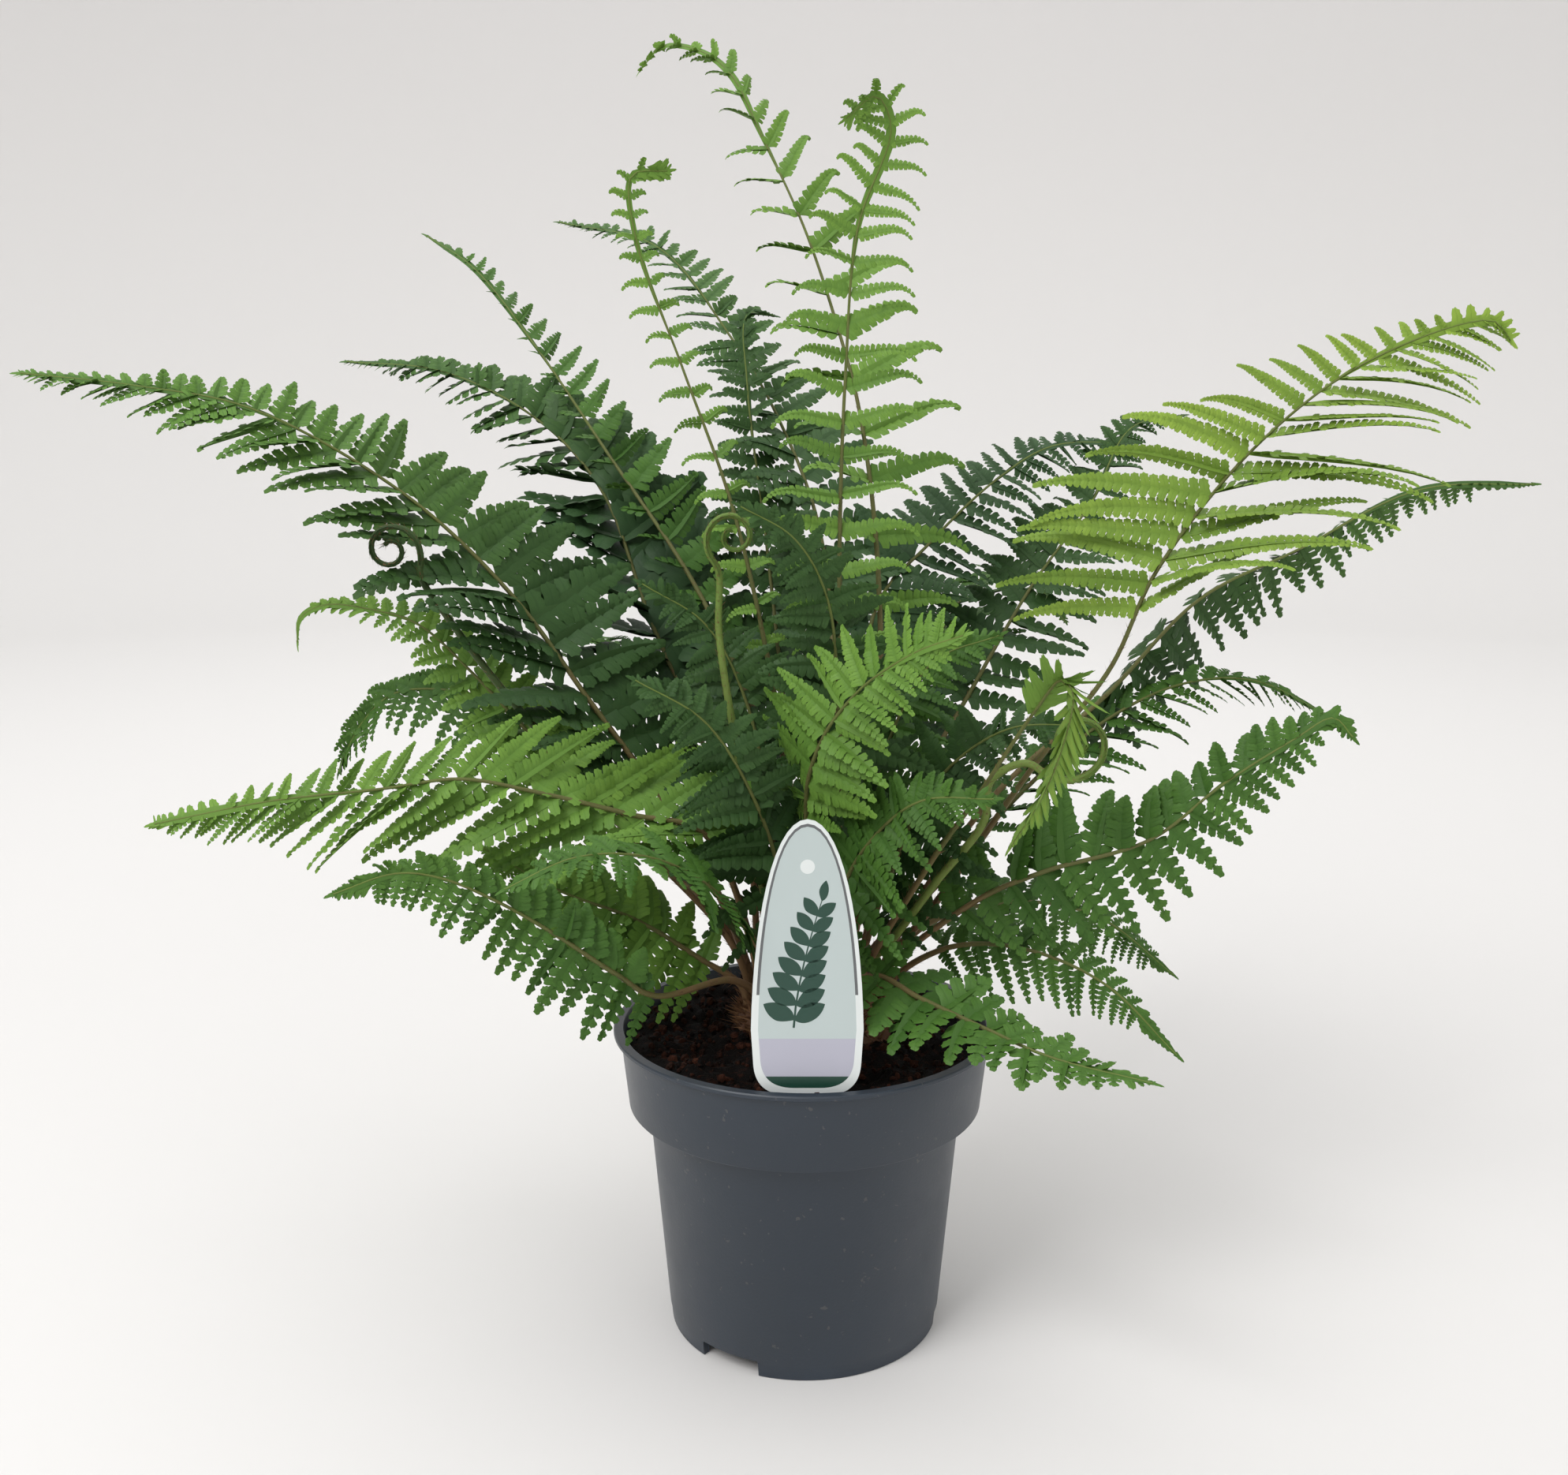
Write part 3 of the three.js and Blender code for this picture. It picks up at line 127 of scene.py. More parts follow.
# Each frond as the frame has it: seat on the crown as ring radius and azimuth, way that its upper face looks,
# bare share of its midrib, pairs of leaflets in the frame and rows here, how the leaflets stand, and guide
# points. Here alone: finer pinnules, broader, stretched, looser or closer leaflets, length under which a
# leaflet is one blade, share of painted sunlight at both ends, and leaf colour where it isn't the tone's.
FRONDS = {
    "frond_right_big": frond(
        seat=(28, 345), tone="bright", face=(-0.15, -0.95, 0.25), bare=0.53, pairs=12, rows=27,
        long=(84, 98), wide=14, taper=(1.75, 0.95), sweep=(-20, 50), lean=(10, 0), rise=(6, 4),
        roll=(10, 55), droop=0.14, hook=0.06, fine=True,
        route=[(62, -8, 215), (108, -12, 285), (142, -19, 334), (159, -30, 380), (197, -45, 436),
               (238, -60, 471), (282, -76, 486), (288, -80, 478)]),
    "frond_left_front": frond(
        seat=(27, 205), tone="fresh", face=(0, -0.85, 0.52), bare=0.25, pairs=13, rows=30, long=(66, 70),
        wide=14, taper=(0.9, 1.5), sweep=(52, -48), lean=(12, 26), rise=(-22, 0), roll=(45, 0), droop=0.08,
        hook=0.03, fine=True, broad=1.15, stretch=1.1,
        route=[(-48, -28, 257), (-81, -36, 268), (-126, -48, 282), (-155, -56, 289), (-190, -64, 286),
               (-234, -74, 283), (-282, -84, 275)]),
    "frond_left_far": frond(
        seat=(30, 172), tone="dark", face=(0.1, -0.6, 0.8), bare=0.24, pairs=13, rows=40, long=(62, 50),
        wide=15, taper=(0.9, 1.4), sweep=(42, -10), lean=(10, 20), rise=(0, 18), roll=(30, 0), droop=0.08,
        hook=0.04, fine=True, broad=1.5, stretch=1.2, sun=(0, 0.85),
        route=[(-55, 12, 240), (-105, 10, 314), (-142, 8, 367), (-190, 5, 414), (-256, -5, 453),
               (-305, -15, 463), (-352, -25, 468)]),
    "frond_back_tall": frond(
        seat=(18, 50), tone="fresh", face=(0.2, -1, 0.25), bare=0.34, pairs=12, rows=21, long=(40, 62),
        wide=17, taper=(0.8, 1.0), sweep=(20, 8), lean=(20, 62), rise=8, roll=(50, 0), droop=0.02, hook=0.2,
        route=[(36, 20, 288), (36, 30, 379), (27, 45, 454), (16, 60, 497), (0, 75, 545), (-22, 95, 594),
               (-38, 112, 627), (-55, 126, 642), (-75, 134, 646), (-87, 140, 636)]),
    "frond_centre_tall": frond(
        seat=(9, 0), tone="fresh", face=(0, -1, 0.1), bare=0.38, pairs=12, rows=24, long=(38, 40), wide=10,
        taper=0.5, sweep=10, lean=10, rise=8, roll=20, droop=-0.08, hook=0.32,
        route=[(18, 5, 291), (16, 0, 387), (18, -5, 468), (23, -10, 533), (37, -16, 574), (30, -22, 586),
               (17, -26, 576)]),
    "frond_left_tall": frond(
        seat=(14, 120), tone="fresh", face=(0.3, -1, 0.2), bare=0.34, pairs=11, rows=22, long=(19, 17),
        wide=8, taper=0.3, sweep=10, lean=14, rise=4, roll=20, droop=-0.05, hook=0.36,
        route=[(-9, 20, 268), (-18, 30, 330), (-36, 35, 408), (-60, 45, 474), (-83, 50, 538),
               (-84, 50, 566), (-67, 50, 568)]),
    "frond_centre_front": frond(
        seat=(18, 265), tone="bright", face=(-0.2, -0.6, 0.75), bare=0.42, pairs=10, rows=22, long=(54, 40),
        wide=13, taper=(0.7, 0.9), sweep=(-14, 10), lean=40, rise=(4, -20), droop=0.08, hook=0.04,
        leaf="fresh", fine=True, broad=1.15, sun=(0.1, 0.3),
        route=[(0, -30, 265), (1, -42, 287), (9, -54, 311), (23, -66, 331), (35, -76, 342), (48, -86, 351),
               (64, -96, 358)]),
    "frond_right_lower": frond(
        seat=(30, 330), tone="green", face=(-0.1, -0.85, 0.5), bare=0.26, pairs=11, rows=23, long=(40, 34),
        wide=14, taper=0.8, sweep=(16, 14), lean=12, rise=(4, -20), droop=0.14, hook=0.06, fine=True,
        broad=1.3, stretch=1.1,
        route=[(80, -26, 223), (110, -38, 241), (156, -52, 260), (185, -62, 288), (212, -72, 310),
               (227, -76, 320), (235, -78, 312)]),
    "frond_front_right": frond(
        seat=(30, 305), tone="bright", face=(0.1, -1, 0.1), bare=0.66, pairs=7, rows=34, long=13, wide=8,
        taper=0.5, sweep=24, lean=20, rise=-6, roll=0, droop=0, hook=0, fine=True, simple=24, stretch=1.35,
        crowd=1.25, sun=(0.6, 0.8),
        route=[(55, -45, 244), (75, -69, 284), (95, -94, 326), (103, -108, 341), (106, -117, 336),
               (102, -125, 320), (93, -131, 298), (80, -135, 278)]),
    "frond_right_front_low": frond(
        seat=(30, 290), tone="fresh", face=(0.2, -0.55, 0.8), bare=0.16, pairs=9, rows=18, long=(24, 27),
        wide=14, taper=0.8, sweep=8, lean=20, rise=(8, 4), roll=0, droop=0.06, hook=0.02, leaf="green",
        fine=True, broad=1.45, stretch=1.22, sun=(0, 0.25),
        route=[(32, -42, 192), (52, -65, 189), (78, -92, 185), (102, -117, 182), (139, -142, 181)]),
    "frond_left_low": frond(
        seat=(33, 215), tone="green", face=(0.1, -0.9, 0.5), bare=0.34, pairs=10, rows=26, long=(26, 24),
        wide=10, taper=(0.7, 0.8), sweep=(4, 26), lean=14, rise=(-4, 10), droop=0.12, hook=0.04, fine=True,
        broad=1.45, stretch=1.15, sun=(0, 0.2),
        route=[(-36, -25, 184), (-70, -50, 185), (-87, -60, 199), (-114, -68, 221), (-137, -76, 238),
               (-160, -84, 251), (-178, -88, 254), (-204, -92, 246)]),
    "frond_left_back_long": frond(
        seat=(24, 140), tone="green", face=(0.6, -0.8, 0.3), bare=0.3, pairs=11, rows=27, long=(18, 50),
        wide=14, taper=(1.0, 0.95), sweep=(40, 22), lean=(6, 14), rise=(-20, 4), roll=(60, 0), droop=0,
        hook=0.02, fine=True, broad=1.25,
        route=[(-16, 20, 275), (-50, 45, 358), (-106, 85, 439), (-142, 110, 489), (-179, 135, 533),
               (-207, 150, 552)]),
    "frond_right_back": frond(
        seat=(30, 5), tone="dark", face=(-0.2, -0.8, 0.6), bare=0.32, pairs=11, rows=38, long=(26, 30),
        wide=12, sweep=30, rise=(-50, -58), roll=0, droop=0.2, hook=0.1, broad=1.35, stretch=1.2,
        sun=(0, 0.4),
        route=[(90, 15, 261), (152, 30, 315), (200, 45, 361), (251, 55, 385), (315, 65, 415),
               (376, 70, 418)]),
    "frond_left_mid_back": frond(
        seat=(30, 150), tone="blue", face=(0.2, -0.75, 0.65), bare=0.3, pairs=11, rows=36, long=(44, 50),
        wide=20, taper=(1.1, 1.4), sweep=(30, 22), lean=10, rise=(-6, 14), roll=(50, 0), droop=0.06,
        hook=0.04, fine=True, broad=1.6, stretch=1.35, sun=(0, 0.35),
        route=[(-30, 25, 246), (-77, 60, 343), (-107, 90, 415), (-145, 115, 453), (-197, 130, 478),
               (-252, 140, 484)]),
    "frond_back_left": frond(
        seat=(26, 85), tone="blue", face=(0.3, -0.9, 0.4), bare=0.3, pairs=11, rows=36, long=(38, 42),
        wide=13, sweep=14, lean=14, rise=8, roll=(20, 0), droop=0.08, broad=1.3, stretch=1.15,
        sun=(0.1, 0.4),
        route=[(15, 30, 286), (9, 80, 391), (-14, 120, 454), (-40, 150, 498), (-84, 190, 552),
               (-144, 220, 570)]),
    "frond_right_mid": frond(
        seat=(24, 65), tone="blue", face=(-0.2, -0.8, 0.6), bare=0.28, pairs=10, rows=33, long=(46, 44),
        wide=14, sweep=(12, 16), lean=14, rise=(2, -12), broad=1.25, stretch=1.1,
        route=[(28, 32, 266), (37, 62, 354), (68, 88, 388), (105, 112, 420), (138, 130, 438),
               (188, 150, 440)]),
    "frond_right_up_back": frond(
        seat=(28, 38), tone="dark", face=(-0.4, -0.9, 0.3), bare=0.3, pairs=10, rows=33, long=(42, 40),
        wide=14, sweep=(14, 16), lean=14, rise=(6, -10), broad=1.25, stretch=1.1,
        route=[(46, 30, 245), (86, 60, 310), (122, 90, 364), (158, 120, 407), (185, 150, 448),
               (220, 170, 456)]),
    "frond_back_mid": frond(
        seat=(28, 110), tone="dark", face=(0, -1, 0.2), bare=0.34, pairs=10, rows=30, long=32, wide=12,
        taper=0.8, sweep=14, rise=8, roll=10, droop=0.06, hook=0.12, broad=1.25, stretch=1.15,
        route=[(-7, 40, 264), (-19, 80, 383), (-30, 110, 470), (-30, 127, 508), (-16, 134, 508)]),
    "frond_left_mid": frond(
        seat=(31, 185), tone="fresh", face=(0.1, -0.75, 0.65), bare=0.36, pairs=11, rows=31, long=(28, 32),
        wide=13, taper=1.3, sweep=(26, 14), lean=14, rise=(-12, 18), roll=(20, 0), droop=0.12, hook=0.06,
        broad=1.25, stretch=1.1,
        route=[(-40, 0, 200), (-94, 10, 254), (-129, 16, 289), (-164, 22, 326), (-191, 26, 350),
               (-215, 30, 357), (-239, 32, 359), (-252, 34, 352), (-254, 34, 340)]),
    "frond_left_droop": frond(
        seat=(34, 160), tone="green", face=(-0.3, -0.7, 0.65), bare=0.38, pairs=10, rows=24, long=(30, 34),
        wide=13, taper=0.7, sweep=(14, 50), rise=4, roll=0, droop=0.2, hook=0.08, broad=1.2, stretch=1.1,
        route=[(-36, 15, 192), (-109, 40, 264), (-163, 56, 307), (-189, 64, 312), (-216, 70, 309),
               (-233, 74, 295), (-244, 76, 278), (-250, 78, 265)]),
    "frond_centre_dark": frond(
        seat=(14, 300), tone="dark", face=(0.2, -0.85, 0.5), bare=0.24, pairs=9, rows=29, long=46, wide=14,
        sweep=10, rise=4, roll=10, droop=0.12, loose=2.4, broad=1.15, stretch=1.1,
        route=[(16, -14, 240), (15, -25, 315), (9, -40, 369), (-6, -52, 396), (-29, -62, 410)]),
    "frond_right_comb": frond(
        seat=(34, 20), tone="green", face=(0.2, -0.7, 0.7), bare=0.26, pairs=9, rows=26, long=(30, 34),
        wide=9, sweep=24, rise=(0, -56), roll=0, droop=0.15, hook=0.06, broad=1.2,
        route=[(62, 24, 196), (108, 40, 204), (156, 52, 192), (199, 58, 158)]),
    "frond_right_thin": frond(
        seat=(34, 352), tone="green", face=(0.1, -0.8, 0.6), bare=0.28, pairs=9, rows=22, long=(22, 26),
        wide=9, sweep=16, rise=(0, -30), roll=0, hook=0.06, broad=1.2,
        route=[(70, -12, 196), (104, -26, 200), (140, -42, 188), (172, -55, 158)]),
    "frond_right_mid_low": frond(
        seat=(24, 20), tone="green", face=(-0.1, -0.6, 0.8), bare=0.34, pairs=9, rows=28, long=(28, 40),
        wide=11, sweep=(30, 40), lean=14, rise=(0, -10), roll=(0, 40), droop=0.12, hook=0.06, broad=1.25,
        route=[(70, 14, 224), (107, 22, 264), (151, 30, 301), (191, 36, 319), (228, 40, 320),
               (267, 44, 302)]),
    "frond_left_low_light": frond(
        seat=(34, 195), tone="fresh", face=(0, -0.75, 0.7), bare=0.26, pairs=9, rows=24, long=(36, 32),
        wide=12, sweep=10, broad=1.25, stretch=1.1,
        route=[(-52, -10, 190), (-82, -18, 212), (-117, -24, 228), (-152, -28, 250)]),
    "frond_front_hidden": frond(
        seat=(33, 245), tone="green", face=(-0.2, -0.5, 0.85), bare=0.3, pairs=9, rows=22, long=34, wide=12,
        droop=0.12, broad=1.25, stretch=1.1,
        route=[(-24, -40, 208), (-44, -66, 242), (-70, -90, 262), (-98, -108, 266), (-125, -120, 256)]),
    "frond_back_right": frond(
        seat=(34, 58), tone="green", face=(-0.3, -0.3, 0.9), bare=0.3, pairs=9, rows=26, long=54, wide=15,
        taper=1.0, lean=14, rise=10, roll=0,
        route=[(42, 60, 250), (72, 120, 325), (108, 182, 362), (146, 240, 356), (176, 280, 326)]),
    "frond_back": frond(
        seat=(34, 92), tone="dark", face=(0, -0.3, 0.95), bare=0.3, pairs=9, rows=26, long=54, wide=15,
        taper=1.0, lean=14, rise=10, roll=0,
        route=[(4, 66, 248), (2, 128, 322), (-2, 196, 360), (-6, 262, 350), (-8, 304, 318)]),
    "frond_back_left_low": frond(
        seat=(34, 128), tone="green", face=(0.3, -0.3, 0.9), bare=0.3, pairs=9, rows=26, long=50, wide=15,
        taper=1.0, lean=14, rise=10, roll=0,
        route=[(-30, 56, 235), (-66, 108, 292), (-108, 166, 322), (-150, 222, 316), (-182, 262, 284)]),
    "frond_inner_left": frond(
        seat=(21, 240), tone="dark", face=(0, -0.7, 0.7), bare=0.22, pairs=8, rows=25, long=(44, 42),
        wide=13, roll=(10, 20), droop=0.14, loose=2.4, broad=1.15, stretch=1.1,
        route=[(-10, -26, 226), (-24, -40, 276), (-46, -50, 314), (-76, -58, 334)]),
    "frond_inner_front": frond(
        seat=(22, 285), tone="green", face=(0.1, -0.7, 0.7), bare=0.22, pairs=8, rows=25, long=42, wide=13,
        droop=0.14, loose=1.4, broad=1.2, stretch=1.05,
        route=[(14, -34, 222), (28, -52, 258), (50, -70, 282), (80, -84, 286)]),
    "frond_inner_right": frond(
        seat=(20, 345), tone="dark", face=(-0.1, -0.7, 0.7), bare=0.22, pairs=8, rows=25, long=44, wide=13,
        droop=0.14, loose=2.4, broad=1.15, stretch=1.1,
        route=[(40, -12, 230), (62, -24, 282), (92, -36, 308), (126, -46, 312)]),
    "frond_inner_back": frond(
        seat=(14, 165), tone="dark", face=(0, -0.8, 0.6), bare=0.24, pairs=8, rows=25, long=44, wide=13,
        roll=10, droop=0.12, loose=2.4, broad=1.15, stretch=1.1,
        route=[(-16, 8, 246), (-28, 8, 312), (-48, 6, 352), (-78, 2, 372)]),
    "frond_inner_mid": frond(
        seat=(16, 25), tone="green", face=(-0.1, -0.8, 0.6), bare=0.24, pairs=8, rows=25, long=42, wide=13,
        droop=0.12, loose=2.4, broad=1.15, stretch=1.1,
        route=[(28, 14, 240), (42, 12, 296), (62, 6, 334), (92, -4, 348)]),
}

# The young croziers: stalk guide points, then a coil round a centre
CROZIERS = {
    "crozier_right": dict(
        seat=(21, 316), coil_centre=(116, -75, 309), turn=1, coil_turns=1.55,
        route=[(38, -22, 199), (61, -38, 237), (80, -52, 268), (82, -62, 290), (96, -70, 299)]),
    "crozier_left": dict(
        seat=(23, 184), coil_centre=(-192, -18, 389), turn=1, coil_turns=1.5, dark=True,
        route=[(-52, -2, 222), (-96, -6, 268), (-136, -10, 313), (-168, -14, 358), (-179, -16, 377)]),
    "crozier_centre": dict(
        seat=(14, 215), coil_centre=(-33, -38, 396), turn=-1, coil_turns=1.4,
        route=[(-18, -14, 215), (-32, -28, 296), (-40, -32, 352), (-40, -36, 381)]),
}
COIL = {"inner": 3.4, "stalk_radius": 1.9, "end_radius": 1.1, "steps": 18}


# Small hands for modelling

def unit(vectors):
    """Vectors of length one, along the last axis."""
    return vectors / np.maximum(np.linalg.norm(vectors, axis=-1, keepdims=True), 1e-12)


def start_clean():
    """Leaves nothing selected and edit mode closed, so that the next operator acts on its own piece."""
    if bpy.context.object and bpy.context.object.mode != "OBJECT":
        bpy.ops.object.mode_set(mode="OBJECT")
    bpy.ops.object.select_all(action="DESELECT")


def face_out():
    """Turns all faces of the piece in edit mode outward, and closes it."""
    bpy.ops.mesh.select_all(action="SELECT")
    bpy.ops.mesh.normals_make_consistent(inside=False)
    start_clean()


def new_object(name, data):
    """A new object in the scene."""
    piece = bpy.data.objects.new(name, data)
    bpy.context.scene.collection.objects.link(piece)
    return piece


def only(piece):
    """Makes a piece the active and only selected one."""
    start_clean()
    piece.select_set(True)
    bpy.context.view_layer.objects.active = piece
    return piece


def pick(piece, test, faces=False):
    """In edit mode, selects the vertices or faces whose middle passes a test, and nothing else."""
    mesh = bmesh.from_edit_mesh(piece.data)
    bpy.context.tool_settings.mesh_select_mode = (not faces, False, faces)
    for item in (*mesh.faces, *mesh.edges, *mesh.verts):
        item.select = False
    for item in mesh.faces if faces else mesh.verts:
        if test(item.calc_center_median() if faces else item.co):
            item.select = True
    mesh.select_flush_mode()
    bmesh.update_edit_mesh(piece.data)


def apply_modifier(piece, kind, **values):
    """Adds a modifier, sets it and applies it."""
    only(piece)
    modifier = piece.modifiers.new(kind.title(), kind)
    for key, value in values.items():
        setattr(modifier, key, value)
    bpy.ops.object.modifier_apply(modifier=modifier.name)


def settle(piece):
    """Puts a piece's place into its mesh, so that its object sits at the origin."""
    only(piece)
    bpy.ops.object.transform_apply(location=True, rotation=True, scale=True)
    return piece


def smooth(piece, degrees=40):
    """Smooth shading with sharp edges kept."""
    only(piece)
    bpy.ops.object.shade_smooth_by_angle(angle=math.radians(degrees))


def dress(piece, node, slot, *finishes):
    """Names a piece's body, hides the frame's node that it stands for and gives it its materials; the slot is
    not used.
    """
    for finish in finishes:
        piece.data.materials.append(finish)
    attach(piece, BODY)
    if node:
        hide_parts(node)


def turned(profile, sides, name):
    """A closed body of revolution, made by extruding a ring from point to point of a profile."""
    start_clean()
    radius, height = profile[0]
    bpy.ops.mesh.primitive_circle_add(vertices=sides, radius=radius, location=(0, 0, height),
                                      fill_type="NGON")
    piece = bpy.context.object
    piece.name = name
    bpy.ops.object.mode_set(mode="EDIT")
    for new_radius, new_height in profile[1:]:
        step = (0, 0, new_height - height)
        bpy.ops.mesh.extrude_region_move(TRANSFORM_OT_translate={"value": step})
        share = new_radius / radius
        bpy.ops.transform.resize(value=(share, share, 1), center_override=(0, 0, new_height))
        radius, height = new_radius, new_height
    face_out()
    return settle(piece)


def mesh_piece(name, points, triangles, values=None, slots=None, uv=None):
    """An object from arrays in millimetres, with values on its points, a slot for each face and a UV map."""
    mesh = bpy.data.meshes.new(name)
    mesh.from_pydata((np.asarray(points) * MM).tolist(), [], triangles.tolist())
    for key, numbers in (values or {}).items():
        layer = mesh.attributes.new(key, "FLOAT", "POINT")
        layer.data.foreach_set("value", np.asarray(numbers, np.float32))
    if slots is not None:
        mesh.polygons.foreach_set("material_index", np.asarray(slots, np.int32))
    if uv is not None:
        layer = mesh.uv_layers.new(name="blade")
        layer.data.foreach_set("uv", np.asarray(uv, np.float32)[triangles.ravel()].ravel())
    return new_object(name, mesh)


def read_mesh(piece):
    """The points and triangles of a small master shape, which is then removed."""
    only(piece)
    bpy.ops.object.mode_set(mode="EDIT")
    bpy.ops.mesh.select_all(action="SELECT")
    bpy.ops.mesh.quads_convert_to_tris()
    start_clean()
    points = np.array([v.co for v in piece.data.vertices])
    triangles = np.array([p.vertices[:] for p in piece.data.polygons])
    bpy.data.objects.remove(piece)
    return points, triangles


class Heap:
    """Collects copies of shapes into the arrays of one mesh."""

    def __init__(self):
        self.points, self.triangles, self.slots, self.uv = [], [], [], []
        self.values = {"age": [], "tone": [], "under": [], "sun": []}
        self.sun = 0.0
        self.count = 0

    def add(self, points, triangles, slot, age, tone=0.5, under=0.5, uv=None):
        """Adds copies: points are (copies, vertices, 3), and the values are one for all or one each."""
        copies, size = points.shape[:2]
        flat = points.reshape(-1, 3)
        starts = self.count + size * np.arange(copies)
        self.triangles.append((starts[:, None, None] + triangles[None]).reshape(-1, 3))
        self.points.append(flat)
        self.slots.append(np.full(copies * len(triangles), slot))
        for key, value in (("age", age), ("tone", tone), ("under", under), ("sun", self.sun)):
            self.values[key].append(np.broadcast_to(value, (copies, size)).ravel())
        uv = np.zeros((size, 2)) if uv is None else uv
        self.uv.append(np.broadcast_to(uv, (copies, size, 2)).reshape(-1, 2))
        self.count += len(flat)

    def piece(self, name):
        """The object that holds everything that was added."""
        values = {key: np.concatenate(parts) for key, parts in self.values.items()}
        return mesh_piece(name, np.concatenate(self.points), np.concatenate(self.triangles), values,
                          np.concatenate(self.slots), np.concatenate(self.uv))


# Master shapes, each modelled once

def model_pinnule(teeth):
    """A pinnule along +Y, one unit wide and long: a thin arched blade on a broad foot, blunt and toothed."""
    start_clean()
    rim = 2 * teeth + 5
    bpy.ops.mesh.primitive_cone_add(vertices=rim, radius1=0.5, radius2=0, depth=0.1, end_fill_type="TRIFAN",
                                    location=(0, 0.5, 0.05), rotation=(0, 0, math.pi))
    piece = settle(bpy.context.object)
    bpy.ops.object.mode_set(mode="EDIT")
    pick(piece, lambda p: abs(p.x) > 0.2 and p.z < 0.01)
    bpy.ops.transform.resize(value=(1.08, 1, 1), center_override=(0, 0.5, 0))
    pick(piece, lambda p: p.y < 0.25 and p.z < 0.01 and abs(p.x) > 0.01)
    bpy.ops.transform.resize(value=(1.25, 1, 1), center_override=(0, 0.5, 0))
    pick(piece, lambda p: p.y < 0.25)
    bpy.ops.transform.resize(value=(1, 0, 1), center_override=(0, -0.02, 0))
    foot = max(v.co.x for v in bmesh.from_edit_mesh(piece.data).verts if v.co.y < 0)
    bpy.ops.transform.resize(value=(0.53 / foot, 1, 1), center_override=(0, 0, 0))
    shape = bmesh.from_edit_mesh(piece.data)
    shape.verts.ensure_lookup_table()
    for step in range(3, rim - 2, 2):
        ring = sorted((v for v in shape.verts if abs(v.co.z) < 0.01 and v.link_edges and not heart(v.co)),
                      key=lambda v: math.atan2(v.co.x, 0.5 - v.co.y) % (2 * math.pi))
        notch = ring[step].co.copy()
        pick(piece, lambda p, notch=notch: (p - notch).length < 1e-4)
        bpy.ops.transform.resize(value=(0.86, 0.86, 1), center_override=(0, 0.45, 0))
    pick(piece, lambda p: heart(p) and p.z < 0.01)
    bpy.ops.transform.translate(value=(0, 0, 0.055))
    pick(piece, lambda p: p.y > 0.7 and abs(p.x) > 0.03 and p.z < 0.03)
    bpy.ops.transform.resize(value=(1.35, 1, 1), center_override=(0, 0.5, 0))
    start_clean()
    points, triangles = read_mesh(piece)
    under = np.where(points[:, 2] > 0.08, 0.0, np.where(points[:, 2] > 0.03, 1.0, 0.3))
    uv = np.stack([points[:, 0] + 0.5, points[:, 1]], axis=1)
    return points, triangles, under, uv


def heart(place):
    """True near the middle of a pinnule."""
    return abs(place.x) < 0.02 and abs(place.y - 0.5) < 0.02


def model_sliver():
    """A dry scale or hair along +Y, one unit long and wide: a thin three-sided point."""
    start_clean()
    bpy.ops.mesh.primitive_cone_add(vertices=3, radius1=0.5, radius2=0, depth=1, location=(0, 0.5, 0),
                                    rotation=(-math.pi / 2, 0, 0))
    piece = settle(bpy.context.object)
    bpy.ops.object.mode_set(mode="EDIT")
    bpy.ops.mesh.select_all(action="SELECT")
    bpy.ops.transform.resize(value=(1, 1, 0.3), center_override=(0, 0, 0))
    pick(piece, lambda p: p.y > 0.9)
    bpy.ops.transform.translate(value=(0, 0, 0.12))
    start_clean()
    return read_mesh(piece)


def model_rod(sides, steps):
    """A round rod along +Z, one unit in radius, with its rings at heights 0, 1, 2 and so on."""
    start_clean()
    bpy.ops.mesh.primitive_circle_add(vertices=sides, radius=1, fill_type="NGON")
    piece = bpy.context.object
    bpy.ops.object.mode_set(mode="EDIT")
    for _ in range(steps):
        bpy.ops.mesh.extrude_region_move(TRANSFORM_OT_translate={"value": (0, 0, 1)})
    face_out()
    return read_mesh(piece)


def rod_rings(rod):
    """The ring on which each point of a rod lies."""
    return np.rint(rod[0][:, 2]).astype(int)


def lay_rod(rod, centres, ups, radii, flat=1.0):
    """A rod laid along a line of points, one ring on each, as one copy's points, and flattened if wanted."""
    shape, ring = rod[0], rod_rings(rod)
    along = unit(np.gradient(centres, axis=0))
    ups = unit(ups - np.sum(ups * along, axis=1, keepdims=True) * along)
    side = np.cross(ups, along)
    x, y = shape[:, :1] * radii[ring, None], shape[:, 1:2] * radii[ring, None] * flat
    return (centres[ring] + side[ring] * x + ups[ring] * y)[None]


def disc_spot(rng, radius):
    """Distance and angle of a random place on a disc, all parts of it alike."""
    return radius * math.sqrt(rng.random()), rng.random() * 2 * math.pi


def sliver_axes(heading, aside):
    """Axes of slivers that point one way, with their flat side across another."""
    wide = unit(np.cross(heading, aside))
    return np.stack([wide, heading, np.cross(wide, heading)], axis=-2)


# The plant's lines, as the frame has them

def crown_surface(distance):
    """Height of the crown's dome at a distance from its axis."""
    share = min(distance / CROWN["radius"], 1)
    return CROWN["shoulder"] + (CROWN["top"] - CROWN["shoulder"]) * math.sqrt(1 - share * share)


